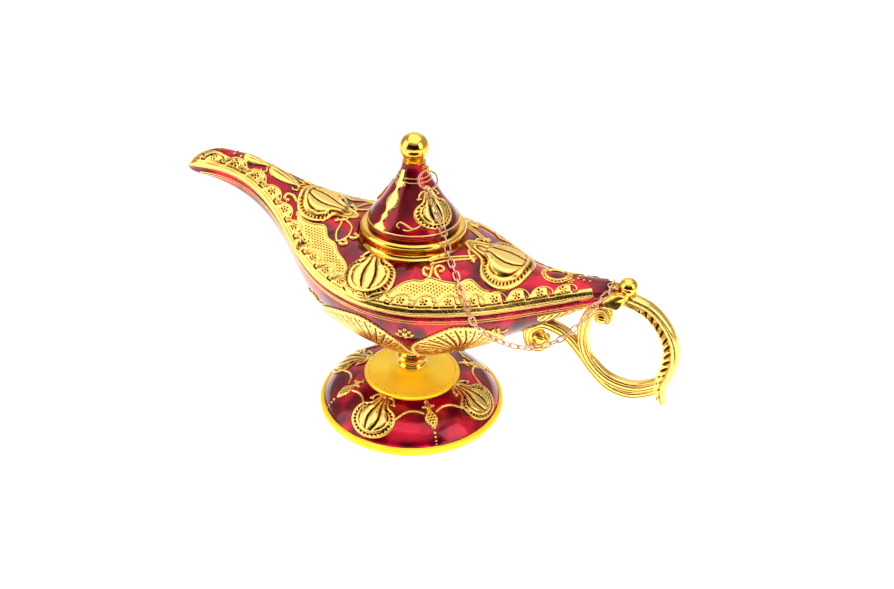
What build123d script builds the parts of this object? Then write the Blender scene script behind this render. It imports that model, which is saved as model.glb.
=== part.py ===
from build123d import *
from math import cos, sin, radians, sqrt
import os

# A genie oil lamp of cast zinc alloy. Two enamelled shells make the body, on a turned stem and a
# domed foot. A conical lid hangs on a chain from the scrolled handle. Millimetres, +Z up,
# +X from the spout to the handle. The origin is the centre of the foot's underside.

# Body shells
spout_reach = 97.0  # lamp axis to the tip of the spout
handle_end = 75.0  # lamp axis to the end of the shells at the handle
bowl_half_width = 37.6
seam_height = 64.4  # where the two shells meet at the lamp axis
shell_wall = 1.6
rim_height = 2.4  # upright band round the upper shell
lip_height = 1.5  # upright band round the lower shell
lip_step = 0.9  # lower shell set back under the upper one
seam_gap = 0.08  # left for the solder
spout_bore = 3.0
overrun = 1.0  # past a face that is cut through

# Mouth and its collar
mouth_radius = 17.0
collar_radius = 20.5
collar_bore_radius = 15.6
collar_seat_height = 75.0
collar_height = 4.4
collar_skirt = 2.5
collar_neck = 1.5  # how far its waist is drawn in
collar_edge_share = 0.3  # of its height that stands upright at the foot
collar_waist_share = 0.65  # of its height up to the waist
mouth_boss_width = 5.0
mouth_boss_depth = 2.8
slip = 0.1  # radial gap of a piece that is soldered in
thread_slip = 0.05  # radial gap of a nut on its thread

# Raised pads on the deck, under its four pomegranates
fruit_radius = 8.6
fruit_rise = 1.2
slope_probe = 0.5  # half the step over which the deck's slope is read

# Lid
lid_flange_radius = 20.0
lid_flange_height = 3.0
lid_ring_bore_radius = 13.6
lid_round = 1.2
lid_gap = 0.3  # radial gap between the lid's spigot and the collar
spigot_wall = 1.3
spigot_depth = 5.8
cone_foot_radius = 16.2
cone_rim_radius = 17.4
cone_rim_height = 1.2
cone_groove = 0.6
cone_height = 24.8  # flange to the finial's seat
cone_tip_radius = 4.3
cone_wall = 1.5
cone_top_plate = 3.6
finial_radius = 5.44
finial_neck_radius = 3.2
finial_seat_radius = 4.4
finial_seat_height = 0.7

# Threads, nuts and washers
stud_radius = 1.5
stud_clearance = 0.15
stud_nut_width = 5.5
stud_nut_height = 2.4
foot_thread_radius = 2.0
foot_nut_width = 7.0
foot_nut_height = 3.2
washer_thickness = 0.8
screw_head_radius = 3.8
screw_head_height = 2.4
screw_slot_share = 0.25  # slot width, of the head's radius
thread_end = 1.2  # a thread's length past its nut

# Foot and stem
foot_radius = 38.0
foot_rim_height = 3.0
foot_rim_width = 1.8
foot_dome_height = 13.4
foot_wall = 1.6
foot_boss_radius = 6.0
foot_boss_drop = 7.4  # dome top to the seat of the screw's washer
pad_thickness = 1.0
pad_margin = 3.0  # foot's edge to the felt's recess
pad_ledge = 1.8
bell_radius = 19.5
bell_edge = 1.0
bell_height = 4.0
bell_neck_radius = 6.0
stem_neck_radius = 5.0
stem_ring_radius = 6.3
stem_bead = 0.4  # the lower ring is that much smaller
stem_top_radius = 7.2
bowl_boss_drop = 1.0  # below the keel
bowl_boss_height = 3.8

# Handle
grip = 15.0  # half of the finger hole
grip_from_end = 9.8  # end of the shells to the middle of the finger hole
grip_below_seam = 20.1
strap_half_width = 2.7
arm_half_width = 2.1
thumb_radius = 3.6
thumb_from_end = 7.56
root_half_width = 4.6
root_height = 7.0
handle_round = 0.7

# Screw and rivet of the handle
handle_thread_radius = 1.5
handle_screw_head_radius = 2.4
handle_screw_head_height = 1.8
handle_thread_length = 6.5
handle_washer_radius = 3.0
handle_washer_thickness = 0.5
rivet_radius = 1.2
rivet_head_radius = 2.2
rivet_head_height = 1.0
rivet_grip = 2.4  # its length in the scroll arm

# Eyes and jump rings
eye_radius = 1.2
eye_wire_radius = 0.45
eye_post_radius = 0.68
eye_reach = 6.9  # lamp axis to the lid's eye
eye_height = 23.2  # lid flange to the lid's eye
eye_azimuth = -21.3
eye_turn = 25.0  # azimuth of the hole's axis
jump_ring_radius = 3.4
jump_wire_radius = 0.4
jump_ring_lean = 25.0
jump_ring_play = 0.1
handle_eye_back = 2.1  # end of the shells to the handle's eye
handle_eye_rise = 1.5
handle_ring_radius = 1.6
handle_ring_wire_radius = 0.3

# Chain, from the lid's jump ring to the handle's
link_wire_radius = 0.3
link_pitch = 3.0
link_play = 0.12
link_half_width = 1.0  # to the middle of the wire
link_turn_at_lid = -36.0
link_turn_at_handle = 17.0
segment_link_count = 4
lid_link_offset = (-0.2, 0.09, 0.35)  # the ring's wire to the chain's start
handle_link_offset = (-0.1, 0.3, -0.15)  # the ring's wire to the chain's end

# The body from the spout to the handle. Each row is one section: its place (of spout_reach or
# handle_end), half-width (of bowl_half_width), and its seam, crown and keel (of seam_height).
station_shares = [
    (-1.000, 0.027, 1.354, 1.376, 1.342),
    (-0.959, 0.088, 1.371, 1.429, 1.323),
    (-0.887, 0.125, 1.388, 1.488, 1.312),
    (-0.784, 0.134, 1.380, 1.511, 1.270),
    (-0.680, 0.165, 1.335, 1.483, 1.185),
    (-0.577, 0.255, 1.258, 1.427, 1.028),
    (-0.474, 0.426, 1.166, 1.349, 0.809),
    (-0.371, 0.638, 1.090, 1.283, 0.610),
    (-0.247, 0.835, 1.036, 1.236, 0.519),
    (-0.124, 0.952, 1.011, 1.227, 0.477),
    (0.000, 1.000, 1.000, 1.227, 0.444),
    (0.160, 0.963, 0.992, 1.224, 0.460),
    (0.320, 0.824, 0.983, 1.199, 0.533),
    (0.480, 0.609, 0.970, 1.155, 0.626),
    (0.640, 0.383, 0.974, 1.124, 0.736),
    (0.800, 0.234, 1.009, 1.129, 0.866),
    (0.907, 0.176, 1.047, 1.138, 0.955),
    (1.000, 0.146, 1.082, 1.149, 1.020),
]
solid_tip_count = 2  # sections before the hollow, at the spout's tip
solid_end_count = 1  # sections after it, at the handle
# The pomegranates: place (of spout_reach or handle_end), and place across, of the half-width there
fruit_place_shares = [(-0.381, 0.0), (0.507, 0.0), (-0.048, 0.787), (-0.048, -0.787)]
# Half a section, from its edge to the middle: share of the half-width, share of the rise or drop
deck_shares = [(1.0, 0.0), (0.86, 0.36), (0.6, 0.70), (0.3, 0.92), (0.0, 1.0)]
bowl_shares = [(1.0, 0.0), (0.90, 0.30), (0.68, 0.62), (0.36, 0.88), (0.0, 1.0)]
# The lid's cone, from its rim to the tip: share of the step from tip to rim radius, share of height
cone_shares = [(1.0, 0.0), (0.89, 0.12), (0.63, 0.315), (0.346, 0.553), (0.102, 0.79), (0.0, 1.0)]
# The foot's dome, from its rim to the bell: share of the radial step, share of the rise
dome_shares = [(1.0, 0.0), (0.74, 0.50), (0.36, 0.84), (0.0, 1.0)]

# The bell, from its edge to the neck: radius (of the bell's), height (of its own)
bell_shares = [(0.62, 0.44), (0.42, 0.66)]
bell_edge_share = 0.4  # of the edge's height that its rounding takes off the radius
# The stem, from the bell to the bowl: share of its rise at each neck and ring
stem_shares = [0.0, 0.12, 0.25, 0.42, 0.60, 0.88]

# Centre lines of the handle, in grips from the middle of the finger hole: along X, up, half thickness
strap_shares = [
    (-0.62, 1.24, 0.17),
    (-0.05, 1.24, 0.18),
    (0.40, 1.09, 0.19),
    (0.76, 0.77, 0.20),
    (1.02, 0.35, 0.21),
    (1.11, -0.10, 0.21),
    (1.06, -0.55, 0.20),
    (0.97, -0.92, 0.17),
    (1.01, -1.25, 0.13),
    (1.11, -1.50, 0.08),
]
inner_arm_shares = [
    (-0.52, 0.64, 0.12),
    (-0.70, 0.87, 0.12),
    (-0.98, 0.66, 0.14),
    (-1.08, 0.28, 0.15),
    (-1.08, -0.12, 0.15),
    (-0.96, -0.50, 0.15),
    (-0.72, -0.83, 0.15),
    (-0.38, -1.09, 0.15),
    (0.02, -1.20, 0.15),
    (0.42, -1.17, 0.14),
    (0.78, -0.98, 0.13),
]
outer_arm_shares = [
    (-1.97, -0.40, 0.10),
    (-2.14, -0.68, 0.12),
    (-2.42, -0.58, 0.13),
    (-2.46, -0.20, 0.14),
    (-2.16, 0.06, 0.15),
    (-1.78, 0.02, 0.16),
    (-1.42, -0.17, 0.16),
    (-1.06, -0.55, 0.15),
    (-0.70, -0.98, 0.14),
    (-0.28, -1.32, 0.14),
    (0.22, -1.42, 0.13),
    (0.70, -1.24, 0.12),
    (0.95, -1.02, 0.11),
]
scroll_eye_shares = [(-2.16, -0.36, 0.17), (-0.66, 0.52, 0.17)]

# The chain's way down the lid: along X and Y, of the cone's rim radius, and above the flange, of the
# cone's height
lid_way_shares = [
    (0.557, -0.356, 0.532),
    (0.684, -0.437, 0.383),
    (0.822, -0.54, 0.242),
    (0.977, -0.649, 0.101),
    (1.052, -0.701, -0.056),
    (1.149, -0.799, -0.177),
]
# Its way round the bowl: along X, of handle_end, along Y, of bowl_half_width, and up, of seam_height
bowl_way_shares = [
    (0.312, -0.476, 1.175),
    (0.36, -0.59, 1.132),
    (0.408, -0.691, 1.081),
    (0.441, -0.734, 1.016),
    (0.469, -0.707, 0.941),
    (0.513, -0.644, 0.876),
    (0.573, -0.564, 0.817),
    (0.64, -0.484, 0.776),
    (0.707, -0.41, 0.762),
    (0.773, -0.335, 0.775),
    (0.835, -0.271, 0.812),
]
# Its way up to the handle, in grips from the handle's eye
handle_way_shares = [
    (-0.713, -0.573, -1.15),
    (-0.5, -0.52, -0.817),
    (-0.32, -0.493, -0.477),
    (-0.147, -0.467, -0.21),
    (-0.013, -0.347, -0.037),
]


def station(share_row):
    """Place, half-width, seam, crown and keel of one section in millimetres."""
    along, width, seam, crown, keel = share_row
    reach = spout_reach if along < 0 else handle_end
    heights = [share * seam_height for share in (seam, crown, keel)]
    return along * reach, width * bowl_half_width, *heights


stations = [station(row) for row in station_shares]
hollow_stations = stations[solid_tip_count : len(stations) - solid_end_count]


def shell_section(x, half, chord, edge, middle, profile):
    """A face across the body: a flat chord, two upright edges and a curve over the middle."""
    near = [(x, share * half, edge + rise * (middle - edge)) for share, rise in profile]
    far = [(x, -y, z) for _, y, z in reversed(near[:-1])]
    sides = [
        Line((x, -half, chord), (x, half, chord)),
        Line((x, half, chord), (x, half, edge)),
        Spline(*[Vector(*point) for point in near + far]),
        Line((x, -half, edge), (x, -half, chord)),
    ]
    return Face(Wire(sides))


def upper_block(extra=0.0):
    """The upper shell's outer form, or a form that lies `extra` outside it."""
    faces = []
    for x, half, seam, crown, _ in stations:
        edge = seam + min(rim_height, 0.5 * (crown - seam))
        faces.append(shell_section(x, half + extra, seam, edge + extra, crown + extra, deck_shares))
    return loft(faces)


def upper_hollow():
    faces = []
    for x, half, seam, crown, _ in hollow_stations:
        inside = half - shell_wall
        edge = seam + rim_height - 0.5 * shell_wall
        faces.append(shell_section(x, inside, seam - overrun, edge, crown - shell_wall, deck_shares))
    return loft(faces)


def lower_block():
    faces = []
    for x, half, seam, _, keel in stations:
        inset = min(lip_step, 0.5 * half)
        edge = seam - min(lip_height, 0.5 * (seam - keel))
        faces.append(shell_section(x, half - inset, seam - seam_gap, edge, keel, bowl_shares))
    return loft(faces)


def lower_hollow():
    faces = []
    for x, half, seam, _, keel in hollow_stations:
        inside = half - lip_step - shell_wall
        edge = seam - lip_height
        faces.append(shell_section(x, inside, seam + overrun, edge, keel + shell_wall, bowl_shares))
    return loft(faces)


def turned(outline):
    """A closed outline of edges in the XZ plane, spun round the lamp's axis."""
    return revolve(make_face(outline), axis=Axis.Z)


def points_at(*pairs):
    return [Vector(radius, 0, height) for radius, height in pairs]


def tube(outer, inner, bottom, height):
    ring = Cylinder(outer, height) - Cylinder(inner, height + 2 * overrun)
    return Pos(0, 0, bottom + height / 2) * ring


def rod(radius, bottom, height):
    return Pos(0, 0, bottom + height / 2) * Cylinder(radius, height)


# Heights that follow from the sizes above
keel_height = min(keel for _, _, _, _, keel in stations)
stem_top = keel_height - bowl_boss_drop
bowl_floor = stem_top + bowl_boss_height
collar_top = collar_seat_height + collar_height
flange_top = collar_top + lid_flange_height
cone_top = flange_top + cone_height
pad_radius = foot_radius - pad_margin
foot_hole_radius = foot_thread_radius + stud_clearance
foot_seat = foot_dome_height - foot_boss_drop
foot_washer_bottom = foot_seat - washer_thickness
stem_bottom = foot_dome_height + bell_height


# Handle screw: its axis runs along X through the end walls of both shells
end_x = stations[-1][0]
end_seam = stations[-1][2]
end_wall_x = hollow_stations[-1][0]
handle_screw_height = hollow_stations[-1][2] + 0.5 * (end_seam - hollow_stations[-1][2])


def along_x(radius, start, length, height):
    return Pos(start + length / 2, 0, height) * Rot(0, 90, 0) * Cylinder(radius, length)


def between(value, rows, column):
    """A column of rows that are sorted by their first one, read in a straight line between them."""
    for low, high in zip(rows, rows[1:]):
        if low[0] <= value <= high[0]:
            return low[column] + (value - low[0]) / (high[0] - low[0]) * (high[column] - low[column])


def deck_point(x, y):
    """A point of the deck above x and y."""
    half, seam, crown = [between(x, stations, column) for column in (1, 2, 3)]
    edge = seam + min(rim_height, 0.5 * (crown - seam))
    rise = between(abs(y) / half, sorted(deck_shares), 1)
    return Vector(x, y, edge + rise * (crown - edge))


def deck_pads():
    """A round pad for each pomegranate, square to the deck and level with it."""
    cover = upper_block(fruit_rise)
    pads = []
    for along, across in fruit_place_shares:
        x = along * (spout_reach if along < 0 else handle_end)
        y = across * between(x, stations, 1)
        slope_x = deck_point(x + slope_probe, y) - deck_point(x - slope_probe, y)
        slope_y = deck_point(x, y + slope_probe) - deck_point(x, y - slope_probe)
        plane = Plane(origin=deck_point(x, y), z_dir=slope_x.cross(slope_y))
        core = plane * Cylinder(fruit_radius, 2 * (fruit_rise + shell_wall))
        pads.append(core & cover)
    return pads


def make_upper_shell():
    block = upper_block()
    for pad in deck_pads():
        block += pad
    boss_bottom = collar_seat_height - mouth_boss_depth
    boss = tube(mouth_radius + mouth_boss_width, mouth_radius, boss_bottom, cone_height)
    shell = block - upper_hollow() + (block & boss)
    shell -= rod(mouth_radius, seam_height, cone_height)
    shell -= rod(collar_radius + slip, collar_seat_height, cone_height)
    return shell - spout_cut() - handle_screw_cut()


def spout_cut():
    """The bore from the hollow to the open end under the spout's hood."""
    hood_x, _, _, hood_crown, _ = hollow_stations[0]
    tip_x, _, _, tip_crown, _ = stations[0]
    start = Vector(hood_x + overrun, 0, hood_crown - shell_wall - spout_bore)
    stop = Vector(tip_x - overrun, 0, tip_crown + 0.5 * spout_bore)
    path = stop - start
    plane = Plane(origin=start, z_dir=path)
    return plane * Pos(0, 0, path.length / 2) * Cylinder(spout_bore / 2, path.length)


def handle_screw_cut():
    radius = handle_thread_radius + stud_clearance
    return along_x(radius, end_wall_x - overrun, end_x - end_wall_x + 2 * overrun, handle_screw_height)


def rivet_place():
    """Where the outer arm's crest meets the keel."""
    along, up, half_thickness = max(outer_arm_shares, key=lambda row: row[1])
    return grip_x + along * grip, grip_z + (up + half_thickness) * grip


def make_lower_shell():
    shell = lower_block() - lower_hollow()
    shell += rod(stem_top_radius, stem_top, bowl_boss_height)
    shell -= rod(foot_hole_radius, stem_top - overrun, bowl_boss_height + 2 * overrun)
    rivet_x, rivet_z = rivet_place()
    rivet_hole = Pos(rivet_x, 0, rivet_z) * Cylinder(rivet_radius + slip, 4 * shell_wall)
    return shell - spout_cut() - handle_screw_cut() - rivet_hole


def make_mouth_collar():
    skirt_radius = mouth_radius - slip
    neck = collar_radius - collar_neck
    brim = neck + collar_edge_share * collar_neck
    base_edge = collar_seat_height + collar_edge_share * collar_height
    outline = [
        Polyline(
            *points_at(
                (brim, collar_top),
                (collar_bore_radius, collar_top),
                (collar_bore_radius, collar_seat_height - collar_skirt),
                (skirt_radius, collar_seat_height - collar_skirt),
                (skirt_radius, collar_seat_height),
                (collar_radius, collar_seat_height),
                (collar_radius, base_edge),
            )
        ),
        ThreePointArc(
            *points_at(
                (collar_radius, base_edge),
                (neck, collar_seat_height + collar_waist_share * collar_height),
                (brim, collar_top),
            )
        ),
    ]
    return turned(outline)


def make_lid_flange():
    shoulder = lid_flange_radius - lid_round
    outline = [
        Polyline(
            *points_at(
                (shoulder, flange_top),
                (lid_ring_bore_radius, flange_top),
                (lid_ring_bore_radius, collar_top),
                (shoulder, collar_top),
            )
        ),
        ThreePointArc(
            *points_at(
                (shoulder, collar_top),
                (lid_flange_radius, collar_top + lid_flange_height / 2),
                (shoulder, flange_top),
            )
        ),
    ]
    return turned(outline)


def make_lid_spigot():
    outer = collar_bore_radius - lid_gap
    return tube(outer, outer - spigot_wall, collar_top - spigot_depth, spigot_depth)


def cone_points(inset):
    """The cone's slope from rim to tip, moved in by a wall's thickness."""
    foot = flange_top + cone_groove + cone_rim_height
    rise = cone_top - foot
    step = cone_rim_radius - cone_tip_radius
    return [(cone_tip_radius + out * step - inset, foot + up * rise) for out, up in cone_shares]


def eye_ring(place, axis_azimuth):
    ring = Rot(0, 90, 0) * Torus(eye_radius, eye_wire_radius)
    return Pos(*place) * Rot(0, 0, axis_azimuth) * ring


def lid_eye_place():
    angle = radians(eye_azimuth)
    return eye_reach * cos(angle), eye_reach * sin(angle), flange_top + eye_height


def make_lid_cone():
    slope = cone_points(0)
    inner = cone_points(cone_wall)
    plate_bottom = cone_top - cone_top_plate
    hole = stud_radius + stud_clearance
    inside = [point for point in inner if point[1] < plate_bottom]
    last_radius, last_height = inner[len(inside) - 1]
    next_radius, next_height = inner[len(inside)]
    share = (plate_bottom - last_height) / (next_height - last_height)
    inside.append((last_radius + share * (next_radius - last_radius), plate_bottom))
    foot = slope[0][1]
    outline = [
        Spline(*points_at(*slope)),
        Polyline(*points_at(slope[-1], (hole, cone_top), (hole, plate_bottom), inside[-1])),
        Spline(*points_at(*reversed(inside))),
        Polyline(
            *points_at(
                inside[0],
                (inside[0][0], flange_top),
                (cone_foot_radius, flange_top),
                (cone_foot_radius, flange_top + cone_groove),
                (cone_rim_radius, flange_top + cone_groove),
                (cone_rim_radius, foot),
            )
        ),
    ]
    cone = turned(outline)
    eye = lid_eye_place()
    post_length = eye_reach - eye_radius
    post = Pos(post_length / 2, 0, 0) * Rot(0, 90, 0) * Cylinder(eye_post_radius, post_length)
    post = Pos(0, 0, eye[2]) * Rot(0, 0, eye_azimuth) * post
    post -= rod(cone_tip_radius - 0.5 * cone_wall, cone_top - cone_height, 2 * cone_height)
    return cone + post + eye_ring(eye, eye_turn)


def make_lid_finial():
    stud_bottom = cone_top - cone_top_plate - stud_nut_height - thread_end
    ball_start = cone_top + finial_seat_height
    centre = ball_start + sqrt(finial_radius**2 - finial_neck_radius**2)
    outline = [
        Polyline(
            *points_at(
                (0, centre + finial_radius),
                (0, stud_bottom),
                (stud_radius, stud_bottom),
                (stud_radius, cone_top),
                (finial_seat_radius, cone_top),
                (finial_neck_radius, ball_start),
            )
        ),
        ThreePointArc(
            *points_at(
                (finial_neck_radius, ball_start),
                (finial_radius, centre),
                (0, centre + finial_radius),
            )
        ),
    ]
    return turned(outline)


def hex_nut(width, height, bore, bottom):
    flat = RegularPolygon(width / 2, 6, major_radius=False) - Circle(bore)
    return Pos(0, 0, bottom) * extrude(flat, height)


def make_foot_plate():
    dome_step = foot_radius - foot_rim_width - bell_radius
    dome_rise = foot_dome_height - foot_rim_height
    slope = [(bell_radius + out * dome_step, foot_rim_height + up * dome_rise) for out, up in dome_shares]
    under = [(radius - foot_wall, height - foot_wall) for radius, height in slope[1:]]
    ledge_radius = pad_radius - pad_ledge
    ceiling = foot_dome_height - foot_wall
    rim_inner = foot_radius - foot_rim_width / 2
    outline = [
        Polyline(
            *points_at(
                slope[-1],
                (foot_hole_radius, foot_dome_height),
                (foot_hole_radius, foot_seat),
                (foot_boss_radius, foot_seat),
                (foot_boss_radius, ceiling),
                under[-1],
            )
        ),
        Spline(*points_at(*reversed(under), (ledge_radius, pad_thickness))),
        Polyline(
            *points_at(
                (ledge_radius, pad_thickness),
                (pad_radius, pad_thickness),
                (pad_radius, 0),
                (rim_inner, 0),
            )
        ),
        ThreePointArc(
            *points_at(
                (rim_inner, 0),
                (foot_radius, foot_rim_height / 2),
                (rim_inner, foot_rim_height),
            )
        ),
        Polyline(*points_at((rim_inner, foot_rim_height), slope[0])),
        Spline(*points_at(*slope)),
    ]
    return turned(outline)


def make_foot_bell():
    waist = bell_neck_radius
    top = stem_bottom
    edge_top = foot_dome_height + bell_edge
    rounding = bell_edge_share * bell_edge
    slope = [(out * bell_radius, foot_dome_height + up * bell_height) for out, up in bell_shares]
    outline = [
        Polyline(
            *points_at(
                (waist, top),
                (foot_hole_radius, top),
                (foot_hole_radius, foot_dome_height),
                (bell_radius - rounding, foot_dome_height),
                (bell_radius, foot_dome_height + bell_edge / 2),
                (bell_radius - rounding, edge_top),
            )
        ),
        Spline(*points_at((bell_radius - rounding, edge_top), *slope, (waist, top))),
    ]
    return turned(outline)


def make_stem_collar():
    rise = stem_top - stem_bottom
    neck = stem_neck_radius
    radii = [neck, stem_ring_radius - stem_bead, neck, stem_ring_radius, neck, stem_top_radius]
    edge = [(radius, stem_bottom + share * rise) for radius, share in zip(radii, stem_shares)]
    outline = [
        Spline(*points_at(*edge)),
        Polyline(
            *points_at(
                edge[-1],
                (stem_top_radius, stem_top),
                (foot_hole_radius, stem_top),
                (foot_hole_radius, stem_bottom),
                edge[0],
            )
        ),
    ]
    return turned(outline)


def make_foot_screw():
    thread_top = bowl_floor + washer_thickness + foot_nut_height + thread_end
    head = rod(screw_head_radius, foot_washer_bottom - screw_head_height, screw_head_height)
    slot = Box(2 * screw_head_radius + overrun, screw_slot_share * screw_head_radius, screw_head_height)
    head -= Pos(0, 0, foot_washer_bottom - screw_head_height) * slot
    return head + rod(foot_thread_radius, foot_washer_bottom, thread_top - foot_washer_bottom)


grip_x = end_x + grip_from_end
grip_z = end_seam - grip_below_seam
thumb_x = end_x + thumb_from_end
thumb_z = end_seam + thumb_radius


def grip_point(along, up):
    return Vector(grip_x + along * grip, 0, grip_z + up * grip)


def ribbon(rows, half_width):
    """A tapered bar in the handle's plane: its centre line's rows give place and half thickness."""
    line = Spline(*[grip_point(along, up) for along, up, _ in rows])
    left = []
    right = []
    for along, up, half_thickness in rows:
        here = grip_point(along, up)
        heading = line.tangent_at(line.param_at_point(here))
        side = Vector(-heading.Z, 0, heading.X) * (half_thickness * grip)
        left.append(here + side)
        right.append(here - side)
    ends = [Line(left[-1], right[-1]), Line(right[0], left[0])]
    face = make_face([Spline(*left), ends[0], Spline(*reversed(right)), ends[1]])
    return extrude(face, half_width, dir=(0, 1, 0), both=True)


def make_handle():
    handle = ribbon(strap_shares, strap_half_width)
    handle += ribbon(inner_arm_shares, arm_half_width)
    handle += ribbon(outer_arm_shares, arm_half_width)
    for along, up, radius in scroll_eye_shares:
        centre = grip_point(along, up)
        handle += Pos(*centre) * Rot(90, 0, 0) * Cylinder(radius * grip, 2 * arm_half_width)
    root_length = thumb_x - end_x
    root = Box(root_length, 2 * root_half_width, root_height)
    root = fillet(root.edges().filter_by(Axis.X), handle_round)
    handle += Pos(end_x + root_length / 2, 0, handle_screw_height) * root
    handle += Pos(thumb_x, 0, thumb_z) * Sphere(thumb_radius)
    handle += eye_ring(handle_eye_place(), 0)
    handle -= lower_block()
    thread_length = handle_thread_length + overrun
    handle -= along_x(handle_thread_radius, end_x - overrun, thread_length, handle_screw_height)
    rivet_x, rivet_z = rivet_place()
    return handle - Pos(rivet_x, 0, 0) * rod(rivet_radius, rivet_z - rivet_grip, rivet_grip + 2 * overrun)


def handle_eye_place():
    return end_x + handle_eye_back, 0, handle_screw_height + root_height / 2 + handle_eye_rise


def make_handle_screw():
    head_start = end_wall_x - handle_washer_thickness - handle_screw_head_height
    head = along_x(handle_screw_head_radius, head_start, handle_screw_head_height, handle_screw_height)
    shank_start = end_wall_x - handle_washer_thickness
    length = end_x + handle_thread_length - shank_start
    return head + along_x(handle_thread_radius, shank_start, length, handle_screw_height)


def make_handle_washer():
    start = end_wall_x - handle_washer_thickness
    disc = along_x(handle_washer_radius, start, handle_washer_thickness, handle_screw_height)
    hole = along_x(handle_thread_radius + slip, start - overrun, 3 * overrun, handle_screw_height)
    return disc - hole


def make_scroll_rivet():
    x, z = rivet_place()
    shank_top = z + 2 * shell_wall
    shank = Pos(x, 0, 0) * rod(rivet_radius, z - rivet_grip, shank_top - z + rivet_grip)
    return shank + Pos(x, 0, 0) * rod(rivet_head_radius, shank_top, rivet_head_height)


def make_handle_jump_ring():
    """It lies flat, from the handle's eye toward the near side."""
    x, y, z = handle_eye_place()
    return Pos(x, y - handle_ring_radius, z) * Torus(handle_ring_radius, handle_ring_wire_radius)


def lid_ring_top():
    x, y, z = lid_eye_place()
    return Vector(x, y, z - eye_radius + eye_wire_radius + jump_wire_radius + jump_ring_play)


def lid_ring_foot():
    """The lowest point of the lid's jump ring, in the middle of its wire."""
    facing = radians(eye_turn - 90)
    lean = radians(jump_ring_lean)
    down = Vector(sin(lean) * cos(facing), sin(lean) * sin(facing), -cos(lean))
    return lid_ring_top() + down * (2 * jump_ring_radius)


def chain_link():
    """One oval link, along X, flat in the XY plane."""
    straight = link_pitch + 2 * link_wire_radius + link_play - 2 * link_half_width
    rail = Rot(0, 90, 0) * Cylinder(link_wire_radius, straight)
    bend = Plane.XZ * Pos(link_half_width, 0, 0) * Circle(link_wire_radius)
    bend = revolve(Rot(0, 0, -90) * bend, axis=Axis.Z, revolution_arc=180)
    link = Pos(0, link_half_width, 0) * rail + Pos(0, -link_half_width, 0) * rail
    link += Pos(straight / 2, 0, 0) * bend
    return link + Pos(-straight / 2, 0, 0) * Rot(0, 0, 180) * bend


def chain_line():
    """The chain's middle line. It starts and ends just inside the wire of a jump ring."""
    way = [lid_ring_foot() + Vector(*lid_link_offset)]
    for along, across, up in lid_way_shares:
        way.append(Vector(along * cone_rim_radius, across * cone_rim_radius, flange_top + up * cone_height))
    for along, across, up in bowl_way_shares:
        way.append(Vector(along * handle_end, across * bowl_half_width, up * seam_height))
    eye = Vector(*handle_eye_place())
    for along, across, up in handle_way_shares:
        way.append(eye + Vector(along * grip, across * grip, up * grip))
    way.append(eye - Vector(0, 2 * handle_ring_radius, 0) + Vector(*handle_link_offset))
    return Spline(*way)


def chain_planes():
    """A plane for each link: X along the chain, with a quarter turn from link to link."""
    line = chain_line()
    count = round(line.length / link_pitch)
    step = line.length / count
    planes = []
    outward = Vector(1, 0, 1)
    for number in range(count):
        at = (number + 0.5) * step
        middle = line.position_at(at, PositionMode.LENGTH)
        heading = line.tangent_at(at, PositionMode.LENGTH)
        outward = (outward - heading * outward.dot(heading)).normalized()
        twist = (link_turn_at_handle - link_turn_at_lid) * number / (count - 1)
        turn = link_turn_at_lid + twist + 90 * (number % 2)
        facing = outward.rotate(Axis((0, 0, 0), heading), turn)
        planes.append(Plane(origin=middle, x_dir=heading, z_dir=facing))
    return planes


def make_chain():
    """The links in stiff segments, each a node of its own."""
    link = chain_link()
    links = [plane.location * link for plane in chain_planes()]
    segments = {}
    for start in range(0, len(links), segment_link_count):
        group = links[start : start + segment_link_count]
        name = f"chain_{start // segment_link_count + 1:02d}"
        segments[name] = Compound(children=[piece.solid() for piece in group])
    return segments


def washer(outer, bore, bottom):
    return tube(outer, bore, bottom, washer_thickness)


def make_lid_jump_ring():
    """It hangs from the lid's eye and leans on the cone."""
    facing = radians(eye_turn - 90)
    lean = radians(jump_ring_lean)
    normal = Vector(cos(lean) * cos(facing), cos(lean) * sin(facing), sin(lean))
    centre = (lid_ring_top() + lid_ring_foot()) / 2
    return Plane(origin=centre, z_dir=normal) * Torus(jump_ring_radius, jump_wire_radius)


parts = {
    "foot_plate": make_foot_plate(),
    "foot_bell": make_foot_bell(),
    "stem_collar": make_stem_collar(),
    "base_pad": rod(pad_radius - slip, 0, pad_thickness),
    "foot_screw": make_foot_screw(),
    "foot_washer": washer(foot_boss_radius - slip, foot_hole_radius, foot_washer_bottom),
    "bowl_washer": washer(foot_boss_radius - slip, foot_hole_radius, bowl_floor),
    "bowl_nut": hex_nut(
        foot_nut_width,
        foot_nut_height,
        foot_thread_radius + thread_slip,
        bowl_floor + washer_thickness,
    ),
    "lower_shell": make_lower_shell(),
    "upper_shell": make_upper_shell(),
    "mouth_collar": make_mouth_collar(),
    "handle": make_handle(),
    "handle_screw": make_handle_screw(),
    "handle_washer": make_handle_washer(),
    "scroll_rivet": make_scroll_rivet(),
    "lid_flange": make_lid_flange(),
    "lid_spigot": make_lid_spigot(),
    "lid_cone": make_lid_cone(),
    "lid_finial": make_lid_finial(),
    "lid_nut": hex_nut(
        stud_nut_width,
        stud_nut_height,
        stud_radius + thread_slip,
        cone_top - cone_top_plate - stud_nut_height,
    ),
    "lid_jump_ring": make_lid_jump_ring(),
    "handle_jump_ring": make_handle_jump_ring(),
    **make_chain(),
}

os.makedirs("parts", exist_ok=True)
for name, solid in parts.items():
    export_step(solid, f"parts/{name}.step")
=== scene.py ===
from math import cos, degrees, hypot, pi, radians, sin

import bpy
import bmesh
import numpy as np
from mathutils import Matrix, Vector
from mathutils.bvhtree import BVHTree


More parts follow.
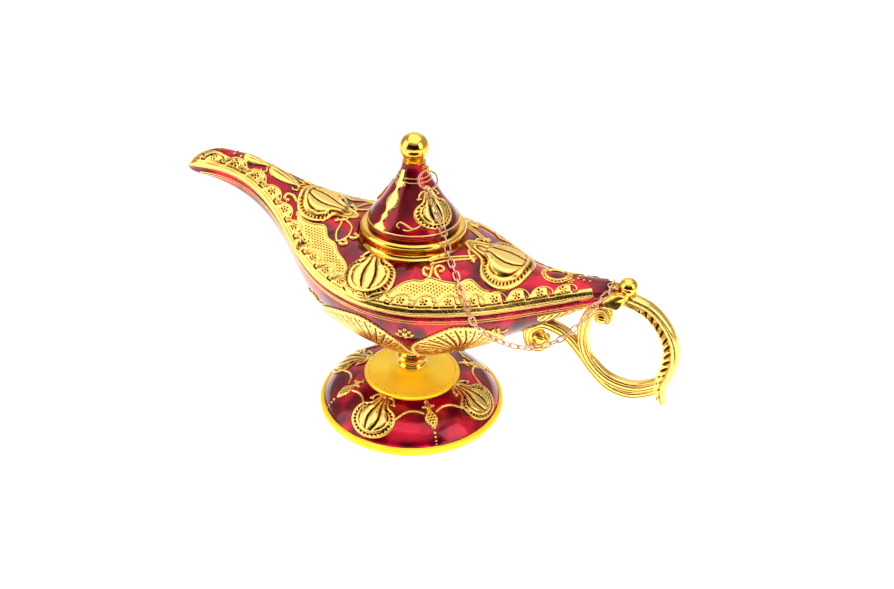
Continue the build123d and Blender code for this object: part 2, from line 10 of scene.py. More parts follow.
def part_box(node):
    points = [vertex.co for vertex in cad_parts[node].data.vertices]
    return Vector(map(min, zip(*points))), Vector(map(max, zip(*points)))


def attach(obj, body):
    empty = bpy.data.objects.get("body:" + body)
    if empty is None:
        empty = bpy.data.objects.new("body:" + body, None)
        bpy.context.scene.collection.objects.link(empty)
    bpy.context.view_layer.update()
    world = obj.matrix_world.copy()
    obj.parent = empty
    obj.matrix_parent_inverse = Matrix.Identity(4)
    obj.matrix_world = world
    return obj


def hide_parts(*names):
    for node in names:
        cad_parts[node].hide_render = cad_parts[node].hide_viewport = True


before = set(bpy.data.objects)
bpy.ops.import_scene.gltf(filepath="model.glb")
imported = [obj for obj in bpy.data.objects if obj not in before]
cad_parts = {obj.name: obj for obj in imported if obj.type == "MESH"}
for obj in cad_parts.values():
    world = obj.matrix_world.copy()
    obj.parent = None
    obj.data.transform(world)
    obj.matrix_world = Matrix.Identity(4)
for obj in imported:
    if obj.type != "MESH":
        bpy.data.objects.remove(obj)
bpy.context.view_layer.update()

# A genie oil lamp of cast zinc, gold plated, with crimson enamel laid between raised ornament.
# Lengths are in millimetres until a mesh is made, and MM turns them to metres.

MM = 0.001


# Colours and materials

def colour(code):
    """An sRGB hex value as linear red, green, blue and alpha."""
    parts = [int(code[i : i + 2], 16) / 255 for i in (1, 3, 5)]
    linear = [part / 12.92 if part <= 0.04045 else ((part + 0.055) / 1.055) ** 2.4 for part in parts]
    return (*linear, 1.0)


def add_node(tree, kind, links=None, **settings):
    """A node with its settings, and its inputs: a value, or the output socket of another node."""
    node = tree.nodes.new(kind)
    for name, value in settings.items():
        setattr(node, name, value)
    for name, value in (links or {}).items():
        socket = node.inputs[name]
        if isinstance(value, bpy.types.NodeSocket):
            tree.links.new(value, socket)
        else:
            socket.default_value = value
    return node


def shader_socket(shader, word):
    return shader.inputs[word.replace("_", " ").title()]


def new_material(name, **constants):
    """A material with some constants on its shader's own sockets."""
    material = bpy.data.materials.new(name)
    material.use_nodes = True
    tree = material.node_tree
    shader = tree.nodes["Principled BSDF"]
    for word, value in constants.items():
        shader_socket(shader, word).default_value = value
    return material, tree, shader


def finish_material(material, tree, shader, **outputs):
    """Links patterns to the shader's sockets."""
    for word, output in outputs.items():
        tree.links.new(output, shader_socket(shader, word))
    return material


def noise(tree, across, detail=2.0, roughness=0.5, distortion=0.0):
    """Soft blotches about `across` millimetres wide."""
    spot = add_node(tree, "ShaderNodeTexCoord").outputs["Object"]
    inputs = {"Vector": spot, "Scale": 1.0 / (across * MM), "Detail": detail, "Roughness": roughness,
              "Distortion": distortion}
    return add_node(tree, "ShaderNodeTexNoise", inputs).outputs["Fac"]


def ramp(tree, source, stops):
    """The source's value turned to a colour by stops of (place, hex)."""
    node = add_node(tree, "ShaderNodeValToRGB", {"Fac": source})
    points = node.color_ramp.elements
    while len(points) < len(stops):
        points.new(0.5)
    for point, (place, code) in zip(points, stops):
        point.position = place
        point.color = colour(code)
    return node.outputs["Color"]


def span(tree, source, low, high):
    """The source's middle range, spread from low to high."""
    inputs = {"Value": source, "From Min": 0.3, "From Max": 0.7, "To Min": low, "To Max": high}
    return add_node(tree, "ShaderNodeMapRange", inputs).outputs["Result"]


def bump(tree, source, depth):
    """Normals for a relief of the source, `depth` millimetres deep."""
    return add_node(tree, "ShaderNodeBump", {"Height": source, "Distance": depth * MM}).outputs["Normal"]


def make_polished_gold():
    """Gold plate over a polished casting: mirror bright, faintly rippled, a little redder in patches."""
    material, tree, shader = new_material("polished_gold_plate", metallic=1.0)
    tint = ramp(tree, noise(tree, across=14.0), [(0.35, "#F0B440"), (0.65, "#F6C85C")])
    haze = span(tree, noise(tree, across=2.5, detail=3.0), low=0.10, high=0.17)
    ripple = bump(tree, noise(tree, across=3.0), depth=0.05)
    return finish_material(material, tree, shader, base_color=tint, roughness=haze, normal=ripple)


def make_relief_gold():
    """The same plate on the chased ornament: bright on its tops, with shade painted dark into its hollows and
    along its edges.
    """
    material, tree, shader = new_material("chased_gold_plate", metallic=1.0)
    hollows = add_node(tree, "ShaderNodeAttribute", attribute_name="recess").outputs["Fac"]
    # Painted shade: the colour runs from bright gold on the tops to near black in the relief's hollows and
    # along its edges.
    tint = ramp(tree, hollows, [(0.0, "#F8D074"), (0.30, "#E0A03A"), (0.65, "#7A4008"), (1.0, "#241002")])
    grain = noise(tree, across=0.8, detail=3.0)
    haze = span(tree, grain, low=0.18, high=0.30)
    return finish_material(material, tree, shader, base_color=tint, roughness=haze,
                           normal=bump(tree, grain, depth=0.02))


def make_satin_gold():
    """Gold plate over a fine-blasted casting: a broad soft sheen, deep yellow."""
    material, tree, shader = new_material("satin_gold_plate", metallic=0.5)
    tint = ramp(tree, noise(tree, across=12.0), [(0.35, "#FFCA16"), (0.65, "#FFD82C")])
    grit = noise(tree, across=0.4)
    haze = span(tree, grit, low=0.30, high=0.42)
    return finish_material(material, tree, shader, base_color=tint, roughness=haze,
                           normal=bump(tree, grit, depth=0.012))


def make_enamel():
    """Cold enamel, a clear crimson resin over bright metal: pearly depth under a wet-looking coat."""
    material, tree, shader = new_material("crimson_cold_enamel", metallic=0.75, coat_weight=0.3,
                                          coat_roughness=0.04)
    clouds = noise(tree, across=12.0, distortion=0.6)
    tint = ramp(tree, clouds, [(0.32, "#34000A"), (0.50, "#7C0018"), (0.70, "#CC052C")])
    haze = span(tree, clouds, low=0.14, high=0.26)
    pooled = bump(tree, noise(tree, across=7.0, detail=1.0), depth=0.15)
    return finish_material(material, tree, shader, base_color=tint, roughness=haze, coat_normal=pooled)


def make_chain_gold():
    """Rose-gold plated steel wire: pale, pinkish and bright."""
    material, tree, shader = new_material("rose_gold_wire", metallic=1.0)
    tint = ramp(tree, noise(tree, across=5.0), [(0.35, "#DCAE8C"), (0.65, "#F2CFB2")])
    haze = span(tree, noise(tree, across=0.6), low=0.14, high=0.24)
    return finish_material(material, tree, shader, base_color=tint, roughness=haze)


def make_zinc_steel():
    """Zinc-plated steel fasteners: cool grey with a faint mottling."""
    material, tree, shader = new_material("zinc_plated_steel", metallic=1.0)
    spangle = noise(tree, across=1.5, detail=3.0)
    tint = ramp(tree, spangle, [(0.35, "#A9ADB2"), (0.65, "#C9CDD2")])
    haze = span(tree, spangle, low=0.25, high=0.4)
    return finish_material(material, tree, shader, base_color=tint, roughness=haze)


def make_felt():
    """Wool felt under the foot: matt black-brown with matted fibres."""
    material, tree, shader = new_material("wool_felt", roughness=0.95, sheen_weight=0.3)
    fibres = noise(tree, across=0.7, detail=5.0, roughness=0.7)
    tint = ramp(tree, fibres, [(0.3, "#1D1715"), (0.7, "#3A302B")])
    return finish_material(material, tree, shader, base_color=tint, normal=bump(tree, fibres, depth=0.25))


polished_gold = make_polished_gold()
relief_gold = make_relief_gold()
satin_gold = make_satin_gold()
enamel = make_enamel()
chain_gold = make_chain_gold()
zinc_steel = make_zinc_steel()
felt = make_felt()


# Pieces

weld_gap = 0.002  # corners of a node's triangles this close are one corner
cast_crease = 32.0  # degrees. Sharper edges stay sharp.
wire_crease = 60.0


def new_object(name, data):
    piece = bpy.data.objects.new(name, data)
    bpy.context.scene.collection.objects.link(piece)
    return piece


def mesh_object(name, points, faces, material, recess=None):
    """A smooth-shaded mesh from points in millimetres."""
    mesh = bpy.data.meshes.new(name)
    mesh.from_pydata([tuple(point) for point in np.asarray(points) * MM], [], faces)
    mesh.materials.append(material)
    mesh.shade_smooth()
    # Painted shade, from 0 for bright to 1 for dark, which the chased gold's colour reads.
    if recess is not None:
        layer = mesh.attributes.new("recess", "FLOAT", "POINT")
        layer.data.foreach_set("value", np.asarray(recess, float))
    return new_object(name, mesh)


def place(piece, body="root", slot="gold", nodes=()):
    """Hands a finished piece to its body and hides the nodes that it stands for. Its slot is not used."""
    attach(piece, body)
    if nodes:
        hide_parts(*nodes)
    return piece


def place_both(near):
    """Places a piece on the near side, and its mirror image on the far side."""
    mesh = place(near).data.copy()
    mesh.name = near.name.replace("near_", "far_")
    mesh.transform(Matrix.Diagonal((1, -1, 1, 1)))
    mesh.flip_normals()
    place(new_object(mesh.name, mesh))


def smooth_copy(node, name, material, body="root", slot="gold", crease=cast_crease):
    """A node's own shape with its corners merged, so that it shades as one smooth surface."""
    work = bmesh.new()
    work.from_mesh(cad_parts[node].data)
    bmesh.ops.remove_doubles(work, verts=work.verts, dist=weld_gap * MM)
    mesh = bpy.data.meshes.new(name)
    work.to_mesh(mesh)
    work.free()
    mesh.materials.clear()
    mesh.materials.append(material)
    mesh.shade_smooth()
    mesh.set_sharp_from_angle(angle=radians(crease))
    return place(new_object(name, mesh), body, slot, [node])


for node, name, material, body, slot in [
    ("upper_shell", "deck_enamel", enamel, "root", "enamel"),
    ("lower_shell", "bowl_enamel", enamel, "root", "enamel"),
    ("mouth_collar", "mouth_collar_plate", polished_gold, "root", "gold"),
    ("foot_plate", "foot_enamel", enamel, "root", "gold"),
    ("foot_bell", "foot_bell_plate", satin_gold, "root", "satin_gold"),
    ("stem_collar", "stem_collar_plate", polished_gold, "root", "gold"),
    ("lid_flange", "lid_flange_plate", polished_gold, "lid", "gold"),
    ("lid_cone", "lid_cone_enamel", enamel, "lid", "enamel"),
    ("lid_finial", "lid_finial_plate", polished_gold, "lid", "gold"),
    ("lid_jump_ring", "lid_ring_wire", chain_gold, "lid", "chain_gold"),
    ("handle_jump_ring", "handle_ring_wire", chain_gold, "root", "chain_gold"),
]:
    smooth_copy(node, name, material, body, slot)

for number in range(1, 11):
    links = f"chain_{number:02d}"
    smooth_copy(links, f"{links}_wire", chain_gold, f"{links}_links", "chain_gold", wire_crease)

for node in ("foot_screw", "foot_washer", "bowl_washer", "bowl_nut", "lid_nut", "handle_screw",
             "handle_washer", "scroll_rivet"):
    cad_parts[node].data.materials[0] = zinc_steel
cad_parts["lid_spigot"].data.materials[0] = polished_gold
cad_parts["base_pad"].data.materials[0] = felt


def add_finish(name, material, chosen):
    """A second finish on some faces of a piece."""
    mesh = bpy.data.objects[name].data
    mesh.materials.append(material)
    for polygon in mesh.polygons:
        if chosen(polygon):
            polygon.material_index = len(mesh.materials) - 1


foot_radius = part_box("foot_plate")[1].x / MM
foot_rim_width = 1.9
bell_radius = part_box("foot_bell")[1].x / MM
bell_cover = 1.0  # the bell's edge to the enamel under it


def is_foot_rim(polygon):
    """True for the foot's rim, its underside and what the bell covers, which are left without enamel."""
    reach = hypot(polygon.center.x, polygon.center.y) / MM
    return (reach > foot_radius - foot_rim_width or polygon.normal.z < -0.5
            or reach < bell_radius - bell_cover)


add_finish("foot_enamel", satin_gold, is_foot_rim)


# Skins, and charts laid on them. A chart is a smooth grid of skin points whose two coordinates are
# in millimetres, so that ornament is drawn on it as on paper.

ray_reach = 60.0
press_height = 15.0  # how far over the skin a decal is pressed from
feeler_share = 0.4  # where a decal feels for the skin's slope, between its middle and its edge
probe = 2.0  # how far over a chart the true skin is searched from
skin_search = 1.6  # how far the true skin may lie from a chart
skin_clearance = 0.03
find_steps = 9  # how finely a place is found between a chart's points
find_batches = 100
rim_step = 0.5  # a strip's first step, off the shell's rim
walk_height = 0.1  # how high over the skin a strip walks


def skin_of(*nodes):
    """The faces of some nodes, to lay ornament on."""
    points, faces = [], []
    for node in nodes:
        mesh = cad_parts[node].data
        start = len(points)
        points += [vertex.co / MM for vertex in mesh.vertices]
        faces += [[start + i for i in polygon.vertices] for polygon in mesh.polygons]
    return BVHTree.FromPolygons(points, faces)


def smoothed(grid, passes):
    """Neighbouring points averaged, to take out the facets. Its edges run on straight."""
    for _ in range(passes):
        for axis in (0, 1):
            grid = np.moveaxis(grid, axis, 0)
            first = 2 * grid[:1] - grid[2:0:-1]
            last = 2 * grid[-1:] - grid[-2:-4:-1]
            wide = np.concatenate([first, grid, last])
            grid = (wide[:-4] + 4 * wide[1:-3] + 6 * wide[2:-2] + 4 * wide[3:-1] + wide[4:]) / 16
            grid = np.moveaxis(grid, 0, axis)
    return grid


def unit(vectors):
    return vectors / np.maximum(np.linalg.norm(vectors, axis=-1, keepdims=True), 1e-9)


def cubic_weights(t):
    """How much each of four neighbours in a row counts, a share t between the middle two."""
    before = ((2 - t) * t - 1) * t / 2
    first = (t * t * (3 * t - 5) + 2) / 2
    second = ((4 - 3 * t) * t + 1) * t / 2
    after = (t - 1) * t * t / 2
    return before, first, second, after


class Chart:
    """Rows of skin points, `step` apart, that start at the coordinates `low`."""

    def __init__(self, skin, grid, low, step, outside, passes=1):
        self.skin = skin
        self.grid = smoothed(np.array(grid, float), passes)
        self.low = low
        self.step = step
        normals = np.cross(np.gradient(self.grid, axis=1), np.gradient(self.grid, axis=0))
        if (normals * outside).sum() < 0:
            normals = -normals
        self.normals = unit(normals)

    def length(self):
        return self.step * (self.grid.shape[1] - 1)

    def at(self, across, up):
        """Skin points and outward normals at these coordinates, by cubic interpolation."""
        across, up = np.broadcast_arrays(np.asarray(across, float), np.asarray(up, float))
        rows, columns = self.grid.shape[:2]
        x = np.clip((across - self.low[0]) / self.step, 1, columns - 2.001)
        y = np.clip((up - self.low[1]) / self.step, 1, rows - 2.001)
        column, row = x.astype(int), y.astype(int)
        across_weights, up_weights = cubic_weights(x - column), cubic_weights(y - row)
        points = np.zeros(x.shape + (3,))
        normals = np.zeros(x.shape + (3,))
        for j in range(4):
            for i in range(4):
                weight = (across_weights[i] * up_weights[j])[..., None]
                r = np.clip(row + j - 1, 0, rows - 1)
                c = np.clip(column + i - 1, 0, columns - 1)
                points += weight * self.grid[r, c]
                normals += weight * self.normals[r, c]
        return points, unit(normals)

    def lift_off(self, points, normals):
        """How far the true skin lies over these chart points, along their normals."""
        lifts = []
        for spot, normal in zip(points.reshape(-1, 3), normals.reshape(-1, 3)):
            hit = self.skin.ray_cast(Vector(spot + probe * normal), Vector(-normal), 2 * probe)[0]
            if hit is None:
                hit = self.skin.find_nearest(Vector(spot))[0]
            lifts.append(min(max((np.array(hit) - spot) @ normal, -skin_search), skin_search))
        return np.array(lifts).reshape(points.shape[:-1])

    def coordinates(self, places):
        """The coordinates of many skin points, from the nearest grid point and the slopes there."""
        flat = places.reshape(-1, 3)
        spots = self.grid.reshape(-1, 3)
        batches = np.array_split(flat, find_batches)
        nearest = np.concatenate([((batch[:, None] - spots) ** 2).sum(-1).argmin(1) for batch in batches])
        found = []
        for axis, number in ((1, nearest % self.grid.shape[1]), (0, nearest // self.grid.shape[1])):
            slope = unit(np.gradient(self.grid, axis=axis)).reshape(-1, 3)[nearest]
            off = ((flat - spots[nearest]) * slope).sum(-1)
            found.append((self.low[1 - axis] + number * self.step + off).reshape(places.shape[:-1]))
        return found

    def find(self, *places):
        """The coordinates of the skin points nearest to some places."""
        found = []
        flat = self.grid.reshape(-1, 3)
        window = np.linspace(-self.step, self.step, find_steps)
        for spot in np.asarray(places, float):
            nearest = int(((flat - spot) ** 2).sum(1).argmin())
            row, column = divmod(nearest, self.grid.shape[1])
            across = self.low[0] + column * self.step
            up = self.low[1] + row * self.step
            fine_across, fine_up = np.meshgrid(across + window, up + window)
            points, _ = self.at(fine_across, fine_up)
            best = int(((points.reshape(-1, 3) - spot) ** 2).sum(1).argmin())
            found.append((fine_across.flat[best], fine_up.flat[best]))
        return np.array(found)


def decal(skin, centre, aim, half_across, half_up, step=0.5, passes=2):
    """A chart pressed straight onto the skin round centre, with its `up` towards aim."""
    centre = skin.find_nearest(Vector(centre))[0]
    normal = skin.find_nearest(centre)[1]
    one_way = normal.orthogonal().normalized()
    other_way = normal.cross(normal.orthogonal()).normalized()
    for way in (one_way, other_way, -one_way, -other_way):
        normal = normal + skin.find_nearest(centre + way * feeler_share * min(half_across, half_up))[1]
    normal.normalize()
    up = Vector(aim) - centre
    up = (up - normal * up.dot(normal)).normalized()
    across = up.cross(normal)
    columns = np.arange(-half_across - 2 * step, half_across + 2.01 * step, step)
    rows = np.arange(-half_up - 2 * step, half_up + 2.01 * step, step)
    grid = np.zeros((len(rows), len(columns), 3))
    for j, b in enumerate(rows):
        for i, a in enumerate(columns):
            flat = centre + across * a + up * b
            hit = skin.ray_cast(flat + normal * press_height, -normal, ray_reach)[0]
            grid[j, i] = hit if hit is not None else skin.find_nearest(flat)[0]
    return Chart(skin, grid, (columns[0], rows[0]), step, np.array(normal), passes)


def grid_chart(skin, low, high, step, cast, outside, passes=1):
    """A chart of evenly spaced coordinates, where `cast` gives each one's ray: start and heading."""
    columns = np.arange(low[0], high[0] + 0.1 * step, step)
    rows = np.arange(low[1], high[1] + 0.1 * step, step)
    grid = np.zeros((len(rows), len(columns), 3))
    for j, up in enumerate(rows):
        for i, across in enumerate(columns):
            start, heading = cast(across, up)
            hit = skin.ray_cast(Vector(start), Vector(heading))[0]
            if hit is None:
                hit = skin.find_nearest(Vector(start) + 0.7 * ray_reach * Vector(heading))[0]
            grid[j, i] = hit
    return Chart(skin, grid, (columns[0], rows[0]), step, outside, passes)


def strip(skin, edge, reach, climb, step=1.0):
    """A chart that starts along a near edge and walks `reach` over the skin to the lamp's middle, up
    or down as `climb` says."""
    edge = resampled(edge, step)
    along = unit(np.gradient(edge, axis=0))
    rows = [edge]
    ways = [np.array([0, -spot[1], climb]) for spot in edge]
    outside = np.array([0, -1.0, np.sign(climb)])
    for number in range(int(reach / step)):
        start = rim_step * outside if number == 0 else 0.0
        row = []
        for k, (spot, heading) in enumerate(zip(rows[-1], along)):
            normal = np.array(skin.find_nearest(Vector(spot + start))[1])
            sideways = np.cross(normal, heading)
            sideways *= np.sign(sideways @ ways[k]) or 1.0
            sideways /= np.linalg.norm(sideways)
            ahead = spot + step * sideways + walk_height * normal
            row.append(np.array(skin.find_nearest(Vector(ahead))[0]))
            ways[k] = unit(0.5 * ways[k] / np.linalg.norm(ways[k]) + sideways)
        rows.append(np.array(row))
    return Chart(skin, np.array(rows), (0.0, 0.0), step, outside)


# Drawing

def resampled(points, step):
    """A line of points, spaced evenly about `step` apart."""
    points = np.asarray(points, float)
    lengths = np.concatenate([[0], np.cumsum(np.linalg.norm(np.diff(points, axis=0), axis=1))])
    count = max(2, int(round(lengths[-1] / step)) + 1)
    wanted = np.linspace(0, lengths[-1], count)
    return np.stack([np.interp(wanted, lengths, column) for column in points.T], axis=1)


def curve(points, closed=False, step=0.4):
    """A smooth line through a few points."""
    points = np.asarray(points, float)
    count = len(points)
    t = np.linspace(0, 1, 12, endpoint=False)[:, None]
    pieces = []
    for k in range(count if closed else count - 1):
        if closed:
            p0, p1, p2, p3 = [points[(k + i) % count] for i in (-1, 0, 1, 2)]
        else:
            p1, p2 = points[k], points[k + 1]
            p0 = points[k - 1] if k else 2 * p1 - p2
            p3 = points[k + 2] if k + 2 < count else 2 * p2 - p1
        bent = 2 * p1 + (p2 - p0) * t + (2 * p0 - 5 * p1 + 4 * p2 - p3) * t**2
        pieces.append(0.5 * (bent + (3 * p1 - p0 - 3 * p2 + p3) * t**3))
    pieces.append(points[:1] if closed else points[-1:])
    return resampled(np.concatenate(pieces), step)


def level_line(start, end, height, step=0.8):
    """A line of chart coordinates at one height."""
    along = np.arange(start, end, step)
    return np.stack([along, np.full(len(along), height)], axis=1)


def oval(centre, size, count=48):
    turn = np.linspace(0, 2 * pi, count)
    return np.stack([centre[0] + size[0] * np.cos(turn), centre[1] + size[1] * np.sin(turn)], axis=1)


def distance(points, line):
    """Each point's distance to a line of points."""
    best = np.full(points.shape[:-1], 1e9)
    for start, end in zip(line[:-1], line[1:]):
        way = end - start
        t = np.clip((points - start) @ way / max(way @ way, 1e-12), 0, 1)
        best = np.minimum(best, ((points - start - t[..., None] * way) ** 2).sum(-1))
    return np.sqrt(best)


def within(points, outline):
    """True for flat points inside a closed outline."""
    inside = np.zeros(points.shape[:-1], bool)
    x, y = points[..., 0], points[..., 1]
    for (x0, y0), (x1, y1) in zip(outline, np.roll(outline, -1, axis=0)):
        if y0 != y1:
            inside ^= ((y0 > y) != (y1 > y)) & (x < (x1 - x0) * (y - y0) / (y1 - y0) + x0)
    return inside


def to_nearest(values, pitch):
    """How far values lie from the nearest of many marks, `pitch` apart."""
    return (values / pitch - np.round(values / pitch)) * pitch


def ease(share):
    """A soft step from 0 to 1."""
    share = np.clip(share, 0, 1)
    return share * share * (3 - 2 * share)


def dome(share):
    """A round cushion: 1 in the middle, where share is 0, and 0 where it is 1 or more."""
    return np.sqrt(np.clip(1 - share**2, 0, 1))


# Reliefs

relief_step = 0.3
sink = 0.25  # how deep a relief's edge dips under the enamel
deepest = 1.2 * sink
dot_margin = 0.3  # a plate's edge to its punched dots
hollow_reach = 0.8  # how wide a stretch the painted shade compares a hollow with
hollow_depth = 0.11  # a hollow this deep is painted fully dark, as shade
edge_shade = 0.55  # how dark the painted shade is along a relief's edge
edge_reach = 0.4
far_off = 9.0  # stands for any long distance on a chart


def cell_corners(grid):
    """The four corners of each cell of a grid, in turn."""
    return np.stack([grid[:-1, :-1], grid[:-1, 1:], grid[1:, 1:], grid[1:, :-1]], axis=-1)


class Relief:
    """Raised metal on a chart, as heights over a fine grid."""

    def __init__(self, chart, across, up, step=relief_step, calm=3):
        self.across, self.up = np.meshgrid(np.arange(*across, step), np.arange(*up, step))
        self.flat = np.stack([self.across, self.up], axis=-1)
        self.points, self.normals = chart.at(self.across, self.up)
        lift = chart.lift_off(self.points, self.normals)[..., None]
        lift = smoothed(np.maximum(lift, smoothed(lift, calm)), 3)
        self.points = self.points + self.normals * (lift + skin_clearance)
        self.chart = chart
        self.step = step
        self.depth = np.full(self.across.shape, -far_off)
        self.height = np.zeros(self.across.shape)

    def inside(self, outline):
        """Signed distance in from a closed outline, measured over the skin."""
        line = self.chart.at(*np.vstack([outline, outline[:1]]).T)[0]
        gap = distance(self.points, line)
        return np.where(within(self.flat, outline), gap, -gap)

    def plate(self, depth, height, edge):
        """A plate with a rounded edge. `depth` is the signed distance in from its outline."""
        self.depth = np.maximum(self.depth, depth)
        self.height = np.maximum(self.height, height * np.sqrt(ease(depth / edge)))

    def add(self, height):
        self.height = self.height + height

    def ridge(self, gap, half_width, height):
        """A round ridge, or a groove where the height is negative, `gap` from its middle line."""
        self.add(height * dome(gap / half_width))

    def dots(self, gap, radius, depth):
        """Round punched hollows, where `gap` is the distance to the nearest one's middle."""
        self.add(-depth * dome(gap / radius) * (self.depth > dot_margin))

    def stippled(self, pitch, row_pitch):
        """The distance to the nearest of staggered dots."""
        row = np.round(self.up / row_pitch)
        column = self.across / pitch - 0.5 * (row % 2)
        return np.hypot((column - np.round(column)) * pitch, self.up - row * row_pitch)

    def mesh(self, name):
        """The relief as a mesh, with painted shade growing from 0 on its tops to 1 in its hollows and along
        its edge.
        """
        height = np.where(self.depth > 0, self.height, np.maximum(self.depth, -deepest))
        # Painted shade: darker where the relief dips below its own blurred level, and near its edge.
        level = smoothed(height[..., None], int((hollow_reach / self.step) ** 2) + 1)[..., 0]
        recess = np.clip((level - height) / hollow_depth, 0, 1)
        recess = np.maximum(recess, edge_shade * np.clip(1 - self.depth / edge_reach, 0, 1))
        places = self.points + self.normals * height[..., None]
        index = np.arange(self.depth.size).reshape(self.depth.shape)
        faces = cell_corners(index)[cell_corners(self.depth > -sink).any(-1)]
        facing = np.cross(self.points[0, 1] - self.points[0, 0], self.points[1, 0] - self.points[0, 0])
        if facing @ self.normals[0, 0] < 0:
            faces = faces[:, ::-1]
        kept, faces = np.unique(faces, return_inverse=True)
        faces = faces.reshape(-1, 4).tolist()
        return mesh_object(name, places.reshape(-1, 3)[kept], faces, relief_gold, recess.ravel()[kept])


# Wires and beads

wire_sides = 6
bead_segments = 8
bead_rings = 6
bead_flatness = 0.8
thin_end_share = 0.4  # a wire's end, as a share of its middle
thin_end_reach = 0.2  # the stretch that it thins over, as a share of its length


def start_tree(name, **sizes):
    """A node group with a mesh in and out, and named inputs for its sizes."""
    tree = bpy.data.node_groups.new(name, "GeometryNodeTree")
    tree.interface.new_socket("Geometry", in_out="INPUT", socket_type="NodeSocketGeometry")
    for socket, value in sizes.items():
        kind = "NodeSocketInt" if isinstance(value, int) else "NodeSocketFloat"
        tree.interface.new_socket(socket, in_out="INPUT", socket_type=kind).default_value = value
    tree.interface.new_socket("Geometry", in_out="OUTPUT", socket_type="NodeSocketGeometry")
    return tree, add_node(tree, "NodeGroupInput").outputs


def finish_tree(tree, geometry):
    """Real, smooth geometry in the relief's gold."""
    joined = add_node(tree, "GeometryNodeRealizeInstances", {"Geometry": geometry}).outputs[0]
    smooth = add_node(tree, "GeometryNodeSetShadeSmooth", {"Geometry": joined}).outputs[0]
    dressed = add_node(tree, "GeometryNodeSetMaterial", {"Geometry": smooth, "Material": relief_gold})
    add_node(tree, "NodeGroupOutput", {"Geometry": dressed.outputs[0]})
    return tree


def read(tree, name, kind):
    """A named attribute of the mesh."""
    node = add_node(tree, "GeometryNodeInputNamedAttribute", {"Name": name}, data_type=kind)
    return node.outputs["Attribute"]


def make_wire_tree():
    """Round wire along a mesh's edges, as thick as its wire_radius."""
    tree, given = start_tree("round_wire", sides=wire_sides)
    lines = add_node(tree, "GeometryNodeMeshToCurve", {"Mesh": given["Geometry"]}).outputs["Curve"]
    ring = {"Resolution": given["sides"], "Radius": 1.0}
    section = add_node(tree, "GeometryNodeCurvePrimitiveCircle", ring).outputs["Curve"]
    radius = read(tree, "wire_radius", "FLOAT")
    sweep = {"Curve": lines, "Profile Curve": section, "Scale": radius, "Fill Caps": True}
    return finish_tree(tree, add_node(tree, "GeometryNodeCurveToMesh", sweep).outputs["Mesh"])


def make_bead_tree():
    """A low dome on each point, square to bead_normal and as wide as its bead_radius."""
    tree, given = start_tree("raised_beads", segments=bead_segments, rings=bead_rings,
                             flatness=bead_flatness)
    ball = {"Segments": given["segments"], "Rings": given["rings"], "Radius": 1.0}
    ball = add_node(tree, "GeometryNodeMeshUVSphere", ball).outputs["Mesh"]
    normal = {"Vector": read(tree, "bead_normal", "FLOAT_VECTOR")}
    turn = add_node(tree, "FunctionNodeAlignRotationToVector", normal, axis="Z").outputs["Rotation"]
    flat = {"X": 1.0, "Y": 1.0, "Z": given["flatness"]}
    flat = add_node(tree, "ShaderNodeCombineXYZ", flat).outputs["Vector"]
    size = {0: flat, "Scale": read(tree, "bead_radius", "FLOAT")}
    size = add_node(tree, "ShaderNodeVectorMath", size, operation="SCALE").outputs["Vector"]
    placing = {"Points": given["Geometry"], "Instance": ball, "Rotation": turn, "Scale": size}
    return finish_tree(tree, add_node(tree, "GeometryNodeInstanceOnPoints", placing).outputs["Instances"])


def grown(name, points, edges, tree, attributes, **sizes):
    """The plain mesh that a node tree grows from points, edges and their attributes."""
    seed = bpy.data.meshes.new(f"{name}_seed")
    seed.from_pydata([tuple(point) for point in np.asarray(points) * MM], edges, [])
    for key, values in attributes.items():
        kind, field_name = ("FLOAT", "value") if values.ndim == 1 else ("FLOAT_VECTOR", "vector")
        seed.attributes.new(key, kind, "POINT").data.foreach_set(field_name, values.ravel())
    carrier = new_object(f"{name}_seed", seed)
    modifier = carrier.modifiers.new("grow", "NODES")
    modifier.node_group = tree
    for socket in tree.interface.items_tree:
        if socket.in_out == "INPUT" and socket.name in sizes:
            modifier[socket.identifier] = sizes[socket.name]
    evaluated = carrier.evaluated_get(bpy.context.evaluated_depsgraph_get())
    mesh = bpy.data.meshes.new_from_object(evaluated)
    mesh.name = name
    carrier.modifiers.remove(modifier)
    bpy.data.objects.remove(carrier)
    bpy.data.meshes.remove(seed)
    return new_object(name, mesh)


